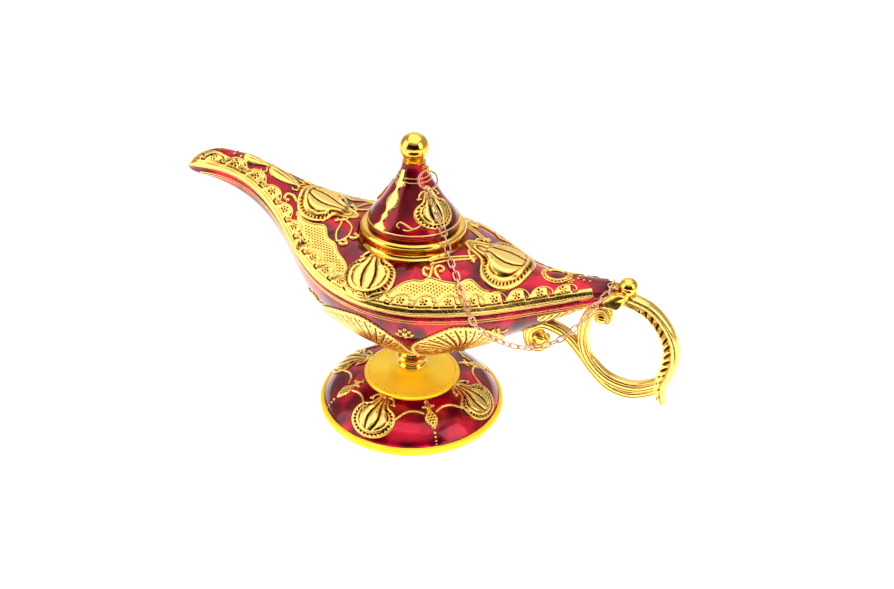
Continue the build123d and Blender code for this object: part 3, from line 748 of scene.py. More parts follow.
class Trim:
    """Wires and beads that are gathered for one piece each."""

    def __init__(self):
        self.wires = []
        self.beads = []

    def wire(self, chart, line, radius, lift=0.3, thin_ends=False):
        """A wire on a chart, along a line of flat points. It may thin towards its ends."""
        points, normals = chart.at(line[:, 0], line[:, 1])
        points = points + normals * chart.lift_off(points, normals)[:, None]
        radii = np.full(len(points), radius)
        if thin_ends:
            shares = np.linspace(0, 1, len(points))
            radii = radii * np.interp(shares, [0, thin_end_reach, 1 - thin_end_reach, 1],
                                      [thin_end_share, 1, 1, thin_end_share])
        self.wires.append((points + normals * lift, radii))

    def bead(self, chart, places, radius, lift=0.2):
        """Beads of one radius, or of one each."""
        points, normals = chart.at(*np.asarray(places, float).reshape(-1, 2).T)
        points = points + normals * chart.lift_off(points, normals)[:, None]
        self.beads += list(zip(points + normals * lift, normals, np.broadcast_to(radius, len(points))))

    def make(self, name, body="root", slot="gold"):
        if self.wires:
            points, edges, radii = [], [], []
            for line, line_radii in self.wires:
                start = len(points)
                points += list(line)
                radii += list(line_radii)
                edges += [(start + i, start + i + 1) for i in range(len(line) - 1)]
            radii = {"wire_radius": np.array(radii) * MM}
            place(grown(f"{name}_lines", points, edges, wire_tree, radii, sides=wire_sides), body, slot)
        if self.beads:
            points, normals, radii = [np.array(column) for column in zip(*self.beads)]
            attributes = {"bead_normal": normals, "bead_radius": radii * MM}
            beads = grown(f"{name}_beads", points, [], bead_tree, attributes, segments=bead_segments,
                          rings=bead_rings, flatness=bead_flatness)
            place(beads, body, slot)

    def make_both(self, name):
        """The near side's pieces and, mirrored, the far side's."""
        self.make(f"near_{name}")
        flip = np.array([1, -1, 1])
        far = Trim()
        far.wires = [(points * flip, radii) for points, radii in self.wires]
        far.beads = [(point * flip, normal * flip, radius) for point, normal, radius in self.beads]
        far.make(f"far_{name}")


wire_tree = make_wire_tree()
bead_tree = make_bead_tree()


# Pomegranates: a fruit seen from the side, its tip up. Shares are of the fruit's half width and height.

fruit_body_shares = [(-0.72, 0.0), (-0.6, 0.38), (-0.3, 0.60), (0.0, 0.66), (0.3, 0.56), (0.55, 0.36),
                     (0.8, 0.24), (1.1, 0.16), (1.4, 0.05)]  # height over the middle, half width there
fruit_lobes = [(0.0, 0.33), (-0.72, 0.32), (0.72, 0.32)]  # middle and half width, across the body
fruit_line_shares = (0.95, 0.70)  # two raised lines along the outline
fruit_line_height = 0.28
fruit_dot_share = 0.825  # the dots between them
fruit_ring_share = 0.83
fruit_dot_pitch = 1.5
fruit_dot_radius = 0.48
fruit_dot_depth = 0.3
fruit_plate_height = 0.4
fruit_neck = (0.62, 0.22)  # how far the neck stands out, as a share, and its half angle
fruit_waist = (0.10, 0.58, 0.25)  # how far the waist beside it draws in, its angle and its half angle
fruit_gap_share = 0.35  # how far the gaps between the lobes sink, as a share of the lobes
fruit_bare_angle = 0.5  # no dots this near the tip
fruit_line_half = (0.05, 0.1)  # a raised line's half width: this share of the size, and this much more
fruit_body_reach = (0.68, 0.9)  # how far the lobes run from the middle, and how much further in the neck
fruit_body_edge = 0.125  # the stretch that they sink over at their end
fruit_body_half = 1.15
fruit_fade = (1.3, 0.2)  # towards the tip the lobes get lower, down to the second share
fruit_leaf_shares = [(0.12, 1.28), (0.30, 1.30), (0.46, 1.16), (0.50, 0.98), (0.40, 0.94)]
fruit_leaf_share = 0.055  # the leaf's radius, and the berry's
fruit_berry_share = 0.075
fruit_berry_place_share = (0.56, 0.98)


def fruit_reach(angle, scale):
    """A pomegranate's middle to its outline, by the angle from its tip: round, with a narrow neck."""
    turn = np.abs((angle + pi) % (2 * pi) - pi)
    neck = fruit_neck[0] * np.exp(-((turn / fruit_neck[1]) ** 2))
    neck = neck - fruit_waist[0] * np.exp(-(((turn - fruit_waist[1]) / fruit_waist[2]) ** 2))
    return scale + neck * (0.55 + 0.45 * scale)


def pomegranate(chart, half_across, half_up, name, trim, step=0.3, belly=0.7):
    """A plate with punched dots between two raised lines, three ribbed lobes with dark gaps, and two
    small leaves that curl away from the neck. `belly` is how far the lobes stand out."""
    size = 0.5 * (half_across + half_up)
    relief = Relief(chart, (-1.2 * half_across, 1.2 * half_across), (-1.2 * half_up, 1.8 * half_up), step)
    a, b = relief.across / half_across, relief.up / half_up
    angle = np.arctan2(a, b)
    reach = np.hypot(a, b)
    depth = (fruit_reach(angle, 1.0) - reach) * size
    relief.plate(depth, fruit_plate_height, edge=0.6)
    line_half = fruit_line_half[0] * size + fruit_line_half[1]
    for line in fruit_line_shares:
        gap = np.abs(fruit_reach(angle, line) - reach) * size
        relief.add(fruit_line_height * dome(gap / line_half) * (depth > 0))
    count = int(2 * pi * fruit_ring_share * size / fruit_dot_pitch)
    around = angle / (2 * pi) * count
    along = (around - np.round(around)) * fruit_dot_pitch
    off = (reach - fruit_reach(angle, fruit_dot_share)) * size
    in_neck = np.abs(angle) < fruit_bare_angle
    relief.dots(np.hypot(along, off) + far_off * in_neck, fruit_dot_radius, fruit_dot_depth)
    heights, widths = np.array(fruit_body_shares).T
    lobe = a / np.maximum(np.interp(b, heights, widths), 0.02)
    round_reach = np.maximum(reach - fruit_body_reach[1] * np.maximum(b, 0), 0)
    in_body = np.clip((fruit_body_reach[0] - round_reach) / fruit_body_edge, 0, 1)
    in_body = in_body * (b > heights[0]) * (b < heights[-1]) * (np.abs(lobe) < fruit_body_half)
    swell = np.zeros_like(a)
    for middle, half in fruit_lobes:
        swell = np.maximum(swell, dome(np.abs(lobe - middle) / half))
    fade = np.clip(fruit_fade[0] - np.maximum(b, 0), fruit_fade[1], 1)
    relief.add(in_body * belly * fade * (swell - fruit_gap_share))
    for side in (-1, 1):
        line = curve([(side * x * half_across, y * half_up) for x, y in fruit_leaf_shares])
        trim.wire(chart, line, fruit_leaf_share * size, thin_ends=True)
        x, y = fruit_berry_place_share
        trim.bead(chart, [(side * x * half_across, y * half_up)], fruit_berry_share * size, lift=0.25)
    return relief.mesh(name)


# Body: where its seam runs, read from the deck's lower edge

deck = skin_of("upper_shell")
bowl = skin_of("lower_shell")
cone = skin_of("lid_cone")
foot = skin_of("foot_plate")
seam_bin = 3.0
seam_search = 0.15  # the step of the search for a shell's outline
search_before = 14  # steps before the seam
search_steps = 50
lip_inset = 0.5
middle_gap = 0.3  # hits this near the middle plane or past it are the far wall's


def seam_heights():
    """The lowest point of the deck's edge in each bin along X."""
    lowest = {}
    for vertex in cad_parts["upper_shell"].data.vertices:
        spot = vertex.co / MM
        key = int(spot.x // seam_bin)
        if key not in lowest or spot.z < lowest[key].z:
            lowest[key] = spot
    rows = sorted((spot.x, spot.z) for spot in lowest.values())
    return np.array(rows).T


seam_x, seam_z = seam_heights()


def seam_edge(skin, first, last, search, step=1.0):
    """The near outline of a shell at the seam, from the spout's end to the handle's. The search
    goes up from below the seam for the deck, and down from above it for the bowl, and passes over
    the locating lip inside the wall."""
    line = []
    for x in np.arange(first, last + 0.01, step):
        z = float(np.interp(x, seam_x, seam_z)) - search_before * search
        starts = [Vector((x, -ray_reach, z + k * search)) for k in range(search_steps)]
        hits = [skin.ray_cast(start, Vector((0, 1, 0)))[0] for start in starts]
        hits = [np.array(hit) for hit in hits if hit is not None and hit.y < middle_gap]
        if hits:
            widest = min(hit[1] for hit in hits)
            line.append(next(hit for hit in hits if hit[1] < widest + lip_inset))
    return np.array(line)


# The border: a smooth gold band over the deck's edge, then a row of waves, each over a small flower

border_first = -97.0
border_last = 73.0
border_reach = 14
border_climb = 5.0
border_top = 11.5
border_under = 0.6  # how far the border runs down past the seam
border_height = 0.17
ledge_start = 3.0  # seam to where the band under the waves starts to rise
ledge_width = 1.2
ledge_height = 0.25
border_calm = 10  # how strongly the border's ground is evened out
wave_pitch = 8.8
wave_start = 3.0
wave_base = 4.9  # seam to the foot of the waves
wave_rise = 4.0
wave_shares = [(-0.05, 0.0), (0.06, 0.38), (0.28, 0.82), (0.56, 1.0), (0.82, 0.80), (0.97, 0.36),
               (0.93, 0.02), (0.82, 0.06), (0.84, 0.24)]  # along the pitch, and up the rise
wave_arch_share = 0.62  # the wave's line from its foot to past its crest
wave_fill_along = [14.0, 24.0, 128.0, 150.0]  # where gold fills the gaps between the waves,
wave_fill_shares = [1.0, 0.55, 0.5, 0.0]  # from all the way up at the spout to none at the handle
first_wave_share = 0.62  # the end waves' rise, which grows to the full one over wave_growth
wave_growth = 25.0
wave_margin = 4.0  # left free of waves, at both ends together
wave_shade_half = 0.55  # a dark groove under each wave: half width, depth and where it stops
wave_shade_depth = 0.26
wave_shade_low = 4.0
wave_under = np.array([0.0, 0.6])  # a wave's line to the groove under it
wave_cover = 0.3  # how far the gold runs on over a wave's line
wave_groove = 0.6  # the foot of the waves to a groove below it
lip_groove = 0.75  # seam to the groove beside it
heart_share = (0.42, 0.36)  # a wave's flower, along its pitch and up its rise
flower_ring = 1.05
flower_turn = radians(18)
heart_lift = 0.05  # a flower's heart stands this much over its petals
petal_turns = [flower_turn + k * 2 * pi / 5 for k in range(5)]


def flower(trim, chart, centre, petal_ring=0.9, petal=0.46, heart=0.34, lift=0.3):
    """Five round petals and a heart."""
    for angle in petal_turns:
        spot = (centre[0] + petal_ring * cos(angle), centre[1] + petal_ring * sin(angle))
        trim.bead(chart, spot, petal, lift=lift)
    trim.bead(chart, centre, heart, lift=lift + heart_lift)


def wave_line(start, rise):
    """One wave from its foot over its crest and down to the next foot, which curls back."""
    return curve([(start + x * wave_pitch, wave_base + y * rise) for x, y in wave_shares])


def make_border():
    """The border and its waves. Returns its chart and its upper edge, as rows along and up."""
    chart = strip(deck, seam_edge(deck, border_first, border_last, seam_search), border_reach, border_climb)
    length = chart.length()
    trim = Trim()
    relief = Relief(chart, (0.0, length), (0.0, border_top), calm=border_calm)
    across, up = relief.across, relief.up
    crest = wave_base + wave_rise * np.interp(across, wave_fill_along, wave_fill_shares)
    shade = np.full(across.shape, far_off)
    punched = np.full(across.shape, far_off)
    for k in range(int((length - wave_margin) / wave_pitch)):
        start = wave_start + k * wave_pitch
        to_end = min(start, length - start - wave_pitch)
        rise = wave_rise * min(1.0, first_wave_share + (1 - first_wave_share) * to_end / wave_growth)
        line = wave_line(start, rise)
        trim.wire(chart, line, radius=0.30, lift=0.25, thin_ends=True)
        heart = np.array([start + heart_share[0] * wave_pitch, wave_base + heart_share[1] * rise])
        arch = line[: int(wave_arch_share * len(line))]
        here = (across >= arch[0, 0]) & (across <= arch[-1, 0])
        top = np.interp(across, arch[:, 0], arch[:, 1])
        crest = np.where(here, np.maximum(crest, top + wave_cover), crest)
        near = np.abs(across - start - 0.5 * wave_pitch) < 0.75 * wave_pitch
        shade[near] = np.minimum(shade[near], distance(relief.flat[near], line - wave_under))
        for petal in [heart] + [heart + flower_ring * np.array([cos(t), sin(t)]) for t in petal_turns]:
            gap = np.hypot(*(relief.flat[near] - petal).T)
            punched[near] = np.minimum(punched[near], gap)
    relief.plate(np.minimum(crest - up, up + border_under), border_height, edge=0.5)
    relief.add(ledge_height * ease((up - ledge_start) / ledge_width))
    relief.add(-wave_shade_depth * dome(shade / wave_shade_half) * (up > wave_shade_low))
    relief.ridge(up - wave_base + wave_groove, half_width=0.45, height=-0.18)
    relief.dots(punched, radius=0.42, depth=0.3)
    relief.ridge(up - lip_groove, half_width=0.5, height=-0.30)
    trim.wire(chart, level_line(1.0, length - 1.0, 0.2), radius=0.22, lift=0.0)
    place_both(relief.mesh("near_border"))
    trim.make_both("waves")
    return chart, across[0], crest[0]


border_chart, border_along, border_crest = make_border()


def over_border(places):
    """How far some places on the deck lie above the border's upper edge."""
    along, up = border_chart.coordinates(places)
    return up - np.interp(along, border_along, border_crest)


# Deck: stippled fields, scrolls and small motifs, drawn from above in X and Y. The near side is
# drawn, and the far side mirrors it.

plan = grid_chart(deck, (-84, -42), (74, 10), 0.6, lambda x, y: ((x, y, 2 * ray_reach), (0, 0, -1)),
                  np.array([0, 0, 1]), passes=2)
stipple_pitch = 1.15
stipple_row_share = 0.866  # row to row, as a share of the pitch, which staggers the dots evenly
stipple_margin = 1.0  # a field's edge to its dots
field_height = 0.3
field_tuck = 0.35  # how far a field slips under the border
clear_gap = 0.4  # a field's wire stops this far from the border
spout_field = [(-42.5, -12.6), (-42.7, -10.8), (-39.8, -12.9), (-35.2, -13.0), (-31, -11.9), (-27.5, -16.6),
               (-23.8, -18.2), (-20.7, -21.9), (-17, -24.7), (-14.8, -27.0), (-14.2, -29.2), (-13.0, -32.5),
               (-15.1, -34.4), (-20.1, -31.6), (-24.6, -28.4), (-29.9, -25.2), (-34, -21.8), (-37.4, -18.4),
               (-40.8, -15.2)]
side_field = [(3.7, -35.3), (6, -30.9), (8.4, -28), (11, -26.3), (14, -25.4), (16.0, -23.2), (20.1, -22.6),
              (25.5, -20.5), (27.6, -17.9), (29.5, -16.7), (33.9, -17.8), (39, -16.2), (36.6, -20.6),
              (31.8, -25.0), (24.2, -29.8), (16.4, -33.4), (9.7, -35.9)]
notch_leaf = [(-26.8, -4.5), (-22.1, -7.6), (-20.8, -13), (-23.3, -16.8), (-25.6, -13.4), (-26.2, -8.5)]
scroll_radius = 0.72
scroll_eye = 0.9
scroll_lines = [
    [(16.0, -23.2), (15.4, -20.6), (14.9, -18.4), (14.8, -16.9)],
    [(16.0, -23.2), (13.8, -22.6), (12.5, -21.0), (12.9, -19.6), (14.0, -20.0)],
    [(20.1, -22.6), (17.2, -20.6), (16.2, -18.4), (17.4, -17.0), (19.2, -17.6), (18.6, -19.0)],
    [(-20.8, -13), (-18.4, -13.6), (-17.6, -12.0), (-18.8, -11.2)],
    [(-23.3, -16.8), (-21.0, -17.8), (-19.6, -16.6), (-20.8, -15.6)],
    [(-44.9, -7.6), (-47.0, -6.0), (-49.4, -6.6), (-49.6, -8.2), (-48.2, -8.4)],
]
double_line = [(13.5, -17.3), (18.6, -12.7), (23.0, -9.4), (27.0, -6.4)]
double_shifts = [(-0.375, 0.6), (0.375, -0.6)]
neck_dots = [(-46.0, -1.5, 0.6), (-59.6, -4.4, 0.5), (-71.6, -1.4, 0.6), (-74.6, -1.2, 0.5),
             (64.6, -1.0, 0.55), (66.8, -1.4, 0.5), (69.0, -1.4, 0.45), (51.2, -1.4, 0.6)]
buds = [(-53.5, 6.6, 4.3), (-65.5, 5.6, 3.4)]  # X of the middle, half length, half width
bud_width_shares = (0.78, 0.34)  # of an oval: at the bud's middle, and what it loses towards its tip
bud_lobes = (-0.5, 0.0, 0.5)
bud_lobe_half = 0.24
bud_lobe_height = 0.3
bud_margin = 0.5
bud_tip = [(0.0, 0.0), (1.6, 0.5), (3.0, 0.0)]  # from the bud's end
bud_leaf = [(-1.0, 0.9), (-0.1, 2.6), (-1.6, 3.6), (-2.5, 2.7)]
ring_centre = (56.4, 0.0)
ring_size = np.array([4.3, 3.3])
ring_beads = ring_size + [0.7, 0.6]
ring_bead_count = 25
outer_ring = ring_size + [1.3, 1.1]
crest_flower = (62.3, 2.6)


def field(name, outline, trim):
    """A stippled plate with a raised edge, which slips under the border."""
    outline = curve(outline, closed=True, step=0.8)
    low, high = outline.min(axis=0) - 1, outline.max(axis=0) + 1
    relief = Relief(plan, (low[0], high[0]), (low[1], high[1]))
    depth = np.minimum(relief.inside(outline), over_border(relief.points) + field_tuck)
    relief.plate(depth, field_height, edge=0.5)
    gap = relief.stippled(stipple_pitch, stipple_row_share * stipple_pitch)
    relief.dots(gap + far_off * (relief.depth < stipple_margin), radius=0.42, depth=0.16)
    place_both(relief.mesh(f"near_{name}"))
    clear = over_border(plan.at(outline[:, 0], outline[:, 1])[0]) > clear_gap
    ends = np.flatnonzero(np.diff(clear.astype(int))) + 1
    for run in np.split(np.arange(len(outline)), ends):
        if clear[run[0]] and len(run) > 3:
            trim.wire(plan, outline[run], radius=0.34, lift=field_height)


def make_deck_fields():
    trim = Trim()
    field("spout_field", spout_field, trim)
    field("side_field", side_field, trim)
    trim.wire(plan, curve(notch_leaf, closed=True), radius=0.55, lift=0.25)
    for line in scroll_lines:
        trim.wire(plan, curve(line), scroll_radius, lift=0.25, thin_ends=True)
        trim.bead(plan, [line[-1]], scroll_eye, lift=0.25)
    for shift in double_shifts:
        trim.wire(plan, curve(np.add(double_line, shift)), radius=0.5, lift=0.22)
    for x, y, radius in neck_dots:
        trim.bead(plan, [(x, y)], radius)
    trim.make_both("scrolls")


def make_crest():
    """The small motifs on the crest, which cross from side to side."""
    trim = Trim()
    for number, (x, half_long, half_wide) in enumerate(buds, 1):
        relief = Relief(plan, (x - half_long - 2, x + half_long + 2), (-half_wide - 1, half_wide + 1))
        along = (relief.across - x) / half_long
        width = half_wide * dome(along) * (bud_width_shares[0] - bud_width_shares[1] * along)
        depth = np.minimum(width - np.abs(relief.up), half_long * (1 - np.abs(along)))
        relief.plate(depth, height=0.4, edge=0.6)
        for middle in bud_lobes:
            lobe = np.abs(relief.up / np.maximum(width, 0.3) - middle)
            relief.add(bud_lobe_height * dome(lobe / bud_lobe_half) * (relief.depth > bud_margin))
        place(relief.mesh(f"crest_bud_{number}"))
        end = x + half_long
        trim.wire(plan, curve(np.add(bud_tip, (end, 0))), radius=0.4)
        for side in (-1, 1):
            leaf = curve([(end + a, b * side) for a, b in bud_leaf])
            trim.wire(plan, leaf, radius=0.4, lift=0.25, thin_ends=True)
    trim.wire(plan, oval(ring_centre, ring_size), radius=0.5, lift=0.2)
    trim.wire(plan, oval(ring_centre, outer_ring), radius=0.3, lift=0.2)
    trim.bead(plan, oval(ring_centre, ring_beads, ring_bead_count)[:-1], radius=0.36, lift=0.3)
    for side in (-1, 1):
        flower(trim, plan, (crest_flower[0], side * crest_flower[1]))
    trim.make("crest")


make_deck_fields()
make_crest()


# Pomegranates on the deck: middle, place towards which the tip points, and half width and height

side_fruit = ((-4.7, -29.5, 73.0), (-6.3, -18.2, 77.1), 9.8, 9.2)
side_patch = (13.0, 18.0)  # half width and height of the chart that it is drawn on
crest_fruits = [
    ("spout_pomegranate", (-37.2, 0.0, 84.0), (-24.0, 0.0, 78.0), 12.6, 9.6),
    ("handle_pomegranate", (37.5, 0.0, 75.0), (22.0, 0.0, 76.0), 15.6, 10.6),
]
crest_patch = (19.0, 20.0)
deck_belly = 0.45  # the deck's own pads carry the rest


def make_deck_fruits():
    trim = Trim()
    centre, aim, *size = side_fruit
    chart = decal(deck, centre, aim, *side_patch)
    place_both(pomegranate(chart, *size, "near_pomegranate", trim, belly=deck_belly))
    trim.make_both("leaves")
    for name, centre, aim, *size in crest_fruits:
        trim = Trim()
        chart = decal(deck, centre, aim, *crest_patch)
        place(pomegranate(chart, *size, name, trim, belly=deck_belly))
        trim.make(f"{name}_leaves")


make_deck_fruits()


# Lid: pomegranates at the chain's eye and opposite, ribbons between them, and fine lines

# A patch is its middle and its aim, each as radius and Z, and its half width and half height.
lid_fruit_turn = -30.0
lid_fruit_patch = ((12.2, 91.0), (5.5, 106.0), 10.0, 13.0)
lid_fruit_size = (8.0, 6.4)
lid_fruit_belly = 0.55
lid_ribbon_turn = -115.0
lid_ribbon_patch = ((10.4, 94.5), (4.6, 106.5), 4.0, 13.0)
lid_leaf_turn = -76.0
lid_leaf_patch = ((15.0, 88.0), (6.0, 104.0), 6.0, 6.0)
ribbon_half = 11.6
ribbon_end = 0.5  # the ribbon runs on this far past its last row
ribbon_rows = [(0.0, 2.6), (0.05, 2.3), (0.10, 1.1), (0.14, 0.7), (0.18, 0.9), (0.22, 1.3), (0.27, 0.95),
               (0.31, 0.75), (0.36, 1.2), (0.42, 2.0), (0.48, 2.35), (0.55, 2.0), (0.63, 1.1), (0.68, 0.75),
               (0.73, 0.9), (0.77, 1.9), (0.80, 2.0), (0.84, 1.1), (0.90, 1.2), (1.0, 0.95)]
ribbon_widening = 1.3
ribbon_most = 4.0
lid_leaf = [(4.6, 0.6), (2.2, -0.9), (-0.6, 0.4), (-2.6, 1.2), (-3.8, 0.0), (-2.8, -1.0)]
lid_twig = [(2.6, -0.8), (0.4, -1.7), (-1.6, -1.4)]
lid_lines = [(100.9, 0.20), (102.3, 0.20), (85.0, 0.34)]  # Z and radius of the wire
lid_line_half = 31.4  # half the way round
cone_middle = 10.0  # a round chart's first coordinate runs round the cone at this radius
cone_chart = ((-32.6, 84.0), (32.6, 106.4))  # a little more than once round
cone_rise = 4.0  # the outward normal's rise on the cone, at a millimetre's radius
cone_reach = 40.0  # outside the lid at any height
eye_low = 98.0
eye_proud = 0.35  # the chain's eye stands off the cone by more than this


def turned(turn, radius, z):
    """A place round the lamp's axis."""
    return (radius * cos(radians(turn)), radius * sin(radians(turn)), z)


def patch(skin, turn, low, high, half_across, half_up):
    """A chart beside the lamp's axis, turned round it."""
    return decal(skin, turned(turn, *low), turned(turn, *high), half_across, half_up)


def cone_ray(across, up):
    heading = turned(degrees(across / cone_middle), 1.0, 0.0)
    return (heading[0] * cone_reach, heading[1] * cone_reach, up), (-heading[0], -heading[1], 0)


def is_lid_eye(polygon):
    """True for the chain's eye, which stands off the cone and is left bare gold."""
    spot = polygon.center / MM
    outwards = Vector((spot.x, spot.y, 0)).normalized()
    wall = cone.ray_cast(Vector((0, 0, spot.z)) - cone_reach * outwards, outwards)[0]
    return spot.z > eye_low and wall is not None and hypot(spot.x, spot.y) > hypot(*wall.xy) + eye_proud


def make_lid_ornament():
    for side, name in ((0, "near"), (180, "far")):
        trim = Trim()
        chart = patch(cone, lid_fruit_turn + side, *lid_fruit_patch)
        fruit = pomegranate(chart, *lid_fruit_size, f"{name}_lid_pomegranate", trim, step=0.25,
                            belly=lid_fruit_belly)
        place(fruit, "lid")
        chart = patch(cone, lid_ribbon_turn + side, *lid_ribbon_patch)
        long = ribbon_half + ribbon_end
        relief = Relief(chart, (-ribbon_most, ribbon_most), (-long, long), step=0.2)
        heights, widths = np.array(ribbon_rows).T
        share = (relief.up + ribbon_half) / (2 * ribbon_half)
        width = ribbon_widening * np.interp(share, heights, widths)
        to_end = long - np.abs(relief.up)
        relief.plate(np.minimum(width - np.abs(relief.across), to_end), height=0.45, edge=0.7)
        place(relief.mesh(f"{name}_lid_ribbon"), "lid")
        chart = patch(cone, lid_leaf_turn + side, *lid_leaf_patch)
        trim.wire(chart, curve(lid_leaf), radius=0.42, lift=0.25, thin_ends=True)
        trim.wire(chart, curve(lid_twig), radius=0.36, lift=0.22, thin_ends=True)
        trim.make(f"{name}_lid_leaves", "lid")
    round_cone = grid_chart(cone, *cone_chart, 0.7, cone_ray, np.zeros(3))
    round_cone.normals = unit(round_cone.grid * np.array([1, 1, 0]) + np.array([0, 0, cone_rise]))
    trim = Trim()
    around = np.linspace(-lid_line_half, lid_line_half, 97)
    for z, radius in lid_lines:
        trim.wire(round_cone, np.stack([around, np.full(len(around), z)], axis=1), radius, lift=0.1)
    trim.make("lid_lines", "lid")


add_finish("lid_cone_enamel", polished_gold, is_lid_eye)
make_lid_ornament()


# Foot: four pomegranates, a drop between each two, a vine that joins them, and the bell's ring of dots

foot_fruit_turns = [-98, -6, 84, 176]
foot_fruit_patch = ((30.2, 10.0), (20.0, 13.6), 12.0, 15.0)
foot_fruit_size = (9.4, 7.8)
foot_drop_turn = 46  # from a fruit to the drop beside it
foot_drop_patch = ((27.6, 10.0), (20.0, 13.3), 5.0, 11.0)
foot_middle = 28.0  # a round chart's first coordinate runs round the foot at this radius
foot_over = 30.0  # over the foot's top
drop_rows = [(-5.0, 0.0), (-4.2, 0.9), (-2.6, 2.0), (-0.8, 2.6), (1.0, 2.3), (2.4, 1.3), (3.6, 0.9),
             (4.4, 1.5), (5.2, 1.9), (6.0, 1.2), (6.6, 0.7), (7.4, 1.0), (8.2, 0.5), (8.8, 0.0)]
drop_end = 9.0  # the drop's middle to where its tip is cut
drop_dots = (1.3, 1.15)  # pitch in a row, and from row to row
drop_dots_top = 2  # the dots stop here
drop_tail = [(-6.1, 0.62), (-7.6, 0.5), (-9.0, 0.42), (-10.2, 0.34)]  # place and radius of its beads
drop_shoulder = (1.9, 4.9)
foot_chart = ((-100.0, 20.5), (100.0, 35.6))  # a little more than once round, and radii
bell_chart_low = (-100.0, 12.0)
bell_chart_in = 0.4  # the bell's edge to its chart's
vine = [(15.6, 31.0), (13.6, 28.2), (10.0, 25.4), (6.0, 24.9), (2.4, 26.2)]  # from the drop: across, radius
bell_dots = 64
bell_dot_in = 1.7  # the bell's edge to the ring of punched dots


def foot_ray(across, up):
    return turned(degrees(across / foot_middle), up, foot_over), (0, 0, -1)


def make_foot_ornament():
    trim = Trim()
    for number, turn in enumerate(foot_fruit_turns, 1):
        chart = patch(foot, turn, *foot_fruit_patch)
        place(pomegranate(chart, *foot_fruit_size, f"foot_pomegranate_{number}", trim))
        chart = patch(foot, turn + foot_drop_turn, *foot_drop_patch)
        relief = Relief(chart, (-3.2, 3.2), (-5.6, 9.4), step=0.25)
        width = np.interp(relief.up, *np.array(drop_rows).T)
        depth = np.minimum(width - np.abs(relief.across), drop_end - np.abs(relief.up))
        relief.plate(depth, height=0.5, edge=0.7)
        punched = relief.stippled(*drop_dots) + far_off * (relief.up > drop_dots_top)
        relief.dots(punched, radius=0.42, depth=0.3)
        place(relief.mesh(f"foot_drop_{number}"))
        for up, radius in drop_tail:
            trim.bead(chart, [(0, up)], radius)
        for side in (-1, 1):
            trim.bead(chart, [(side * drop_shoulder[0], drop_shoulder[1])], radius=0.7)
    ring = grid_chart(foot, *foot_chart, 0.8, foot_ray, np.array([0, 0, 1]))
    for turn in foot_fruit_turns:
        middle = radians((turn + foot_drop_turn + 180) % 360 - 180) * foot_middle
        for side in (-1, 1):
            line = curve([(middle + side * across, up) for across, up in vine])
            trim.wire(ring, line, radius=0.5, lift=0.2)
    trim.make("foot_vines")


def make_bell_dots():
    bell = skin_of("foot_bell")
    high = (-bell_chart_low[0], bell_radius - bell_chart_in)
    chart = grid_chart(bell, bell_chart_low, high, 0.7, foot_ray, np.array([0, 0, 1]))
    trim = Trim()
    turns = np.radians(np.linspace(-180, 180, bell_dots, endpoint=False))
    dots = [(turn * foot_middle, bell_radius - bell_dot_in) for turn in turns]
    trim.bead(chart, dots, radius=0.34, lift=0.0)
    trim.make("foot_bell_dots", slot="satin_gold")


make_foot_ornament()
make_bell_dots()


# Bowl: two ribbed fans on each side that leave a red V between them, and thin lines under the lip

fan_edge = (-36.0, 56.0)  # the stretch of seam that the fans' chart hangs from
fan_reach = 40
bowl_climb = -12.0
fans = [
    ("handle_fan", (24.3, -17.0, 42.0), [
        (10.6, -24.2, 42.1), (12.5, -28.9, 48.4), (18.5, -30.2, 53.6), (25.8, -28.0, 58.2),
        (31.0, -25.0, 57.8), (36.0, -20.0, 55.6), (40.0, -13.8, 51.6), (39.4, -8.0, 47.0),
        (33.0, -7.0, 42.5), (25.0, -8.0, 38.5), (16.0, -10.0, 36.0), (10.4, -16.0, 37.0)]),
    ("spout_fan", (-6.0, -21.0, 42.5), [
        (9.0, -24.4, 42.1), (7.4, -30.0, 48.6), (3.2, -33.9, 54.7), (-4.5, -35.2, 59.1),
        (-12.0, -32.6, 59.0), (-20.0, -28.2, 56.6), (-26.0, -22.5, 52.0), (-24.0, -16.0, 45.5),
        (-17.0, -14.0, 40.0), (-8.0, -13.0, 36.5), (2.0, -13.0, 35.5), (8.8, -17.0, 37.0)]),
]
fan_ribs = 30
fan_lean = 0.018  # radians that a rib turns per millimetre outwards
rib_height = 0.38
rib_half_share = 0.46  # a rib's half width, as a share of the pitch
rib_edge = (1.0, 0.6)  # the fan's edge to where the ribs begin, and how fast they rise
fan_eye = 5.0  # the ribs fade out this near the fan's middle
fan_bead_pitch = 1.7
rib_dot_rows = [(2.3, 0.55, 0.4), (4.9, 0.42, 0.3)]  # fan's edge to the punched dots, radius, depth
rib_dot_shape = (1.3, 0.7)  # the dots are longer along the rib than across it
v_spray = (10.6, -33.2, 55.6)
spray_berries = [(0, 0, 1.0), (-1.7, -1.5, 0.75), (1.6, -1.4, 0.75), (0, -2.5, 0.7), (2.8, 0.4, 0.65),
                 (-2.8, 0.6, 0.65), (0.4, 1.9, 0.7)]
spray_arm = [(0.2, 1.2), (1.8, 1.9), (2.9, 0.9), (2.2, 0.1)]
bowl_flowers = [(39.6, -17.0, 53.4), (-30.0, -22.6, 55.6)]
bowl_flower_leaf = [(1.9, 1.2), (3.5, 0.8), (4.5, -0.6)]
lip_edge = (-92.0, 72.0)
lip_reach = 12
lip_lines = [(1.5, 0.22), (2.6, 0.18)]  # seam to the line, and its radius
keel_leaf_reach = 21.0  # the leaf-cut plate beside the handle's root, along the lip
keel_leaf_top = 3.6  # seam to the plate
keel_leaf_heights = (3.9, 4.6)  # the plate at its tip, and what it gains towards the handle
keel_leaf_pitch = 2.6
keel_leaf_slant = 0.9


